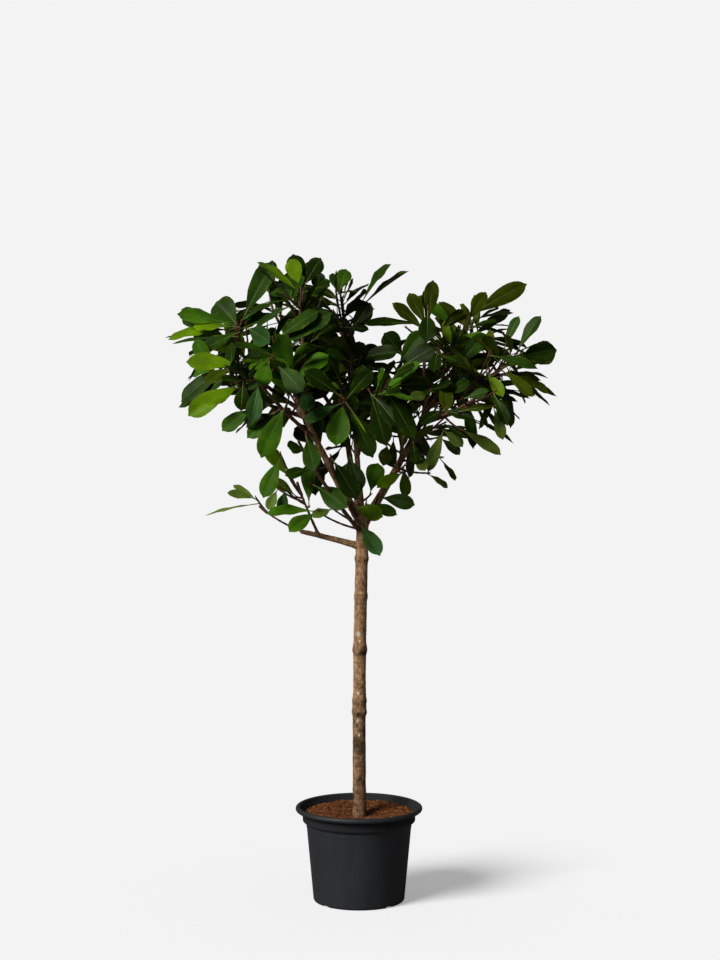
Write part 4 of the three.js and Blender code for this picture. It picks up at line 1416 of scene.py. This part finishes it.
# soil height: a low mound between trunk and wall, a fall at the wall, a hollow round the trunk,
# a slope to the front and noise of three sizes
def soilHeight(x, y):
    far = np.hypot(x, y)
    share = far / soil["radius"]
    (rise, middle, broad), (fall, start, run), (depth, width) = soil["mound"], soil["fall"], soil["dip"]
    mound = rise * np.exp(-(((share - middle) / broad) ** 2)) - fall * np.clip((share - start) / run, 0, 1)
    mound = mound - depth * np.exp(-((far / width) ** 2)) + soil["slope"] * y
    spots = np.column_stack([x.ravel(), y.ravel(), np.zeros(x.size)])
    rough = sum(height * lattice(spots / grain, seed) for height, grain, seed in soil["rough"])
    return soil["top"] + mound + rough.reshape(x.shape)


# rings of soil from the wall inwards, with a skirt down the wall
def makeSoil():
    angles = roundAngles(soil["segments"])
    radius = np.linspace(soil["radius"], soil["hub"], soil["rings"])[:, None]
    x, y = radius * np.cos(angles), radius * np.sin(angles)
    points = np.stack([x, y, soilHeight(x, y)], axis=-1)
    skirt = points[:1] * (1, 1, 0) + (0, 0, soil["bottom"])
    makePiece("soil_bed", *turned(np.concatenate([skirt, points])), [soilSkin()], "soil", ["soil"])


def soilSkin():
    made, wire, place, fill = newFinish("pottingFibre")
    clod = wire.noise(place, 130, 4, 0.7).rises(0.3, 0.7)
    grit = wire.noise(place, 620, 3, 0.7).rises(0.35, 0.7)
    base = clod.between(paint(74, 39, 16), paint(154, 86, 36))
    fill({
        "Base Color": (grit * 0.55).between(base, paint(46, 24, 10)),
        "Roughness": 0.95,
        "Normal": wire.bump(clod + grit, 0.9, 0.003),
        "Specular IOR Level": 0.2,
    })
    return made


# Loose bits: fibres and chips. Millimetres.
bits = {
    "count": 3000,
    "seed": 77,
    "strewn": (0.03, 0.95),  # shares of the bed's area from its middle
    "length": (3, 10, 2),  # least, range and power of the draw
    "thick": (0.35, 0.5, 1.5),
    "tilt": (0.3, 0.2),  # along and across
    "curl": 0.4,
    "taper": (0.5, 1, 0.9, 0.4),  # of the thickness, from end to end
    "sides": 4,
    "tones": {
        "fibreDark": ((44, 23, 11), (80, 43, 20)),
        "fibreBrown": ((108, 58, 23), (156, 88, 38)),
        "fibrePale": ((138, 82, 36), (176, 114, 58)),
    },
}


# short bent bars strewn over the bed, each a length along a level way with a little tilt
def makeBits():
    chance = np.random.RandomState(bits["seed"])
    count, taper = bits["count"], np.array(bits["taper"])
    far = np.sqrt(chance.uniform(*bits["strewn"], count)) * soil["radius"]
    turn, way, tilt = chance.uniform(0, 2 * math.pi, (3, count))
    x, y = far * np.cos(turn), far * np.sin(turn)
    sizes = (bits["length"], bits["thick"])
    length, thick = (least + span * chance.rand(count) ** power for least, span, power in sizes)
    run = np.linspace(-0.5, 0.5, len(taper))
    along, across = bits["tilt"]
    ahead = np.stack([np.cos(way), np.sin(way), along * np.sin(tilt)], axis=-1)
    bend = np.stack([-np.sin(way), np.cos(way), across * np.cos(tilt)], axis=-1)
    middle = np.stack([x, y, soilHeight(x, y) + 0.5 * thick], axis=-1)
    curl = (0.25 - run**2) * (2 * bits["curl"] * chance.rand(count, 1) - bits["curl"])
    offsets = ahead[:, None] * run[:, None] + bend[:, None] * curl[..., None]
    paths = middle[:, None] + length[:, None, None] * offsets
    points, faceSets = tubes(paths, thick[:, None] * taper, bits["sides"])
    tone = chance.randint(0, len(bits["tones"]), count)
    finishOf = np.concatenate([np.repeat(tone, (len(taper) - 1) * bits["sides"]), tone, tone])
    skins = [twigSkin(name, *colours) for name, colours in bits["tones"].items()]
    makePiece("soil_bits", points, faceSets, skins, "soil", [], finishOf)


makeSoil()
makeBits()


# Stage: a pale floor that takes the pot's shadow, a lamp high at front left and a soft sky.
stage = {
    "pale": 0.896,  # light of the floor and sky as the camera sees them
    "floorSize": 30000,  # millimetres
    "floorAlbedo": 0.78,
    "floorDim": 0.2,  # the floor's return of light to the plant
    "shadowReach": (0.5, 0.85),  # metres
    "sky": 0.13,  # light of the sky on the plant
}


# near the pot the floor takes the shadow and glows just enough to be as pale as the far floor;
# its colour undoes the lamp's tint, and light that leaves the plant meets a dimmer floor
def makeFloor():
    side = stage["floorSize"] / 2
    corners = np.array(((-side, -side, 0), (side, -side, 0), (side, side, 0), (-side, side, 0)), float)
    made, wire, place, _ = newFinish("paleFloor")
    tree = made.node_tree
    untinted = [stage["floorAlbedo"] / part for part in lamp["tint"]]
    taken = lamp["strength"] * math.sin(math.radians(lamp["fall"])) / math.pi + stage["sky"]
    lit = wire.add("ShaderNodeBsdfDiffuse", {}, {"Color": (*untinted, 1)})
    glow = wire.add("ShaderNodeEmission", {}, {"Strength": stage["pale"] - stage["floorAlbedo"] * taken})
    near = wire.add("ShaderNodeAddShader", {}, {0: lit, 1: glow})
    far = wire.add("ShaderNodeEmission", {}, {"Strength": stage["pale"]})
    away = wire.distance(place).rises(*stage["shadowReach"])
    bright = wire.add("ShaderNodeMixShader", {}, {0: away, 1: near, 2: far})
    dim = wire.add("ShaderNodeBsdfDiffuse", {}, {"Color": (stage["floorDim"],) * 3 + (1,)})
    seen = wire.add("ShaderNodeLightPath", out="Is Camera Ray")
    mixed = wire.add("ShaderNodeMixShader", {}, {0: seen, 1: dim, 2: bright})
    output = next(node for node in tree.nodes if node.type == "OUTPUT_MATERIAL")
    tree.links.new(mixed.socket, output.inputs["Surface"])
    floor = makePiece("floor", corners, [np.array(((0, 1, 2, 3),))], [made])


# pale to the camera, dim as a light
def makeSky():
    world = bpy.data.worlds.new("studio")
    bpy.context.scene.world = world
    world.use_nodes = True
    tree = world.node_tree
    tree.nodes.clear()
    wire = Wire(tree)
    seen = wire.add("ShaderNodeLightPath", out="Is Camera Ray")
    dim = wire.add("ShaderNodeBackground", {}, {"Color": (*lamp["tint"], 1), "Strength": stage["sky"]})
    pale = wire.add("ShaderNodeBackground", {}, {"Color": (1, 1, 1, 1), "Strength": stage["pale"]})
    mixed = wire.add("ShaderNodeMixShader", {}, {0: seen, 1: dim, 2: pale})
    output = tree.nodes.new("ShaderNodeOutputWorld")
    tree.links.new(mixed.socket, output.inputs["Surface"])


def makeLamp():
    light = bpy.data.lights.new("window", "SUN")
    light.energy = lamp["strength"]
    light.color = lamp["tint"]
    light.angle = math.radians(lamp["angle"])
    piece = newObject("window", light)
    piece.rotation_euler = [math.radians(part) for part in (90 - lamp["fall"], 0, lamp["turn"] - 90)]


def makeCamera():
    data = bpy.data.cameras.new("camera")
    data.sensor_width = camera["sensor"]
    data.lens = camera["focal"] / max(camera["size"]) * camera["sensor"]
    data.clip_end = camera["far"]
    piece = newObject("camera", data)
    piece.location = [part * mm for part in camera["place"]]
    piece.rotation_euler = (math.radians(90 - camera["pitch"]), 0, 0)
    bpy.context.scene.camera = piece


makeFloor()
makeSky()
makeLamp()
makeCamera()
bpy.context.scene.view_settings.view_transform = "Standard"
print("stage set")
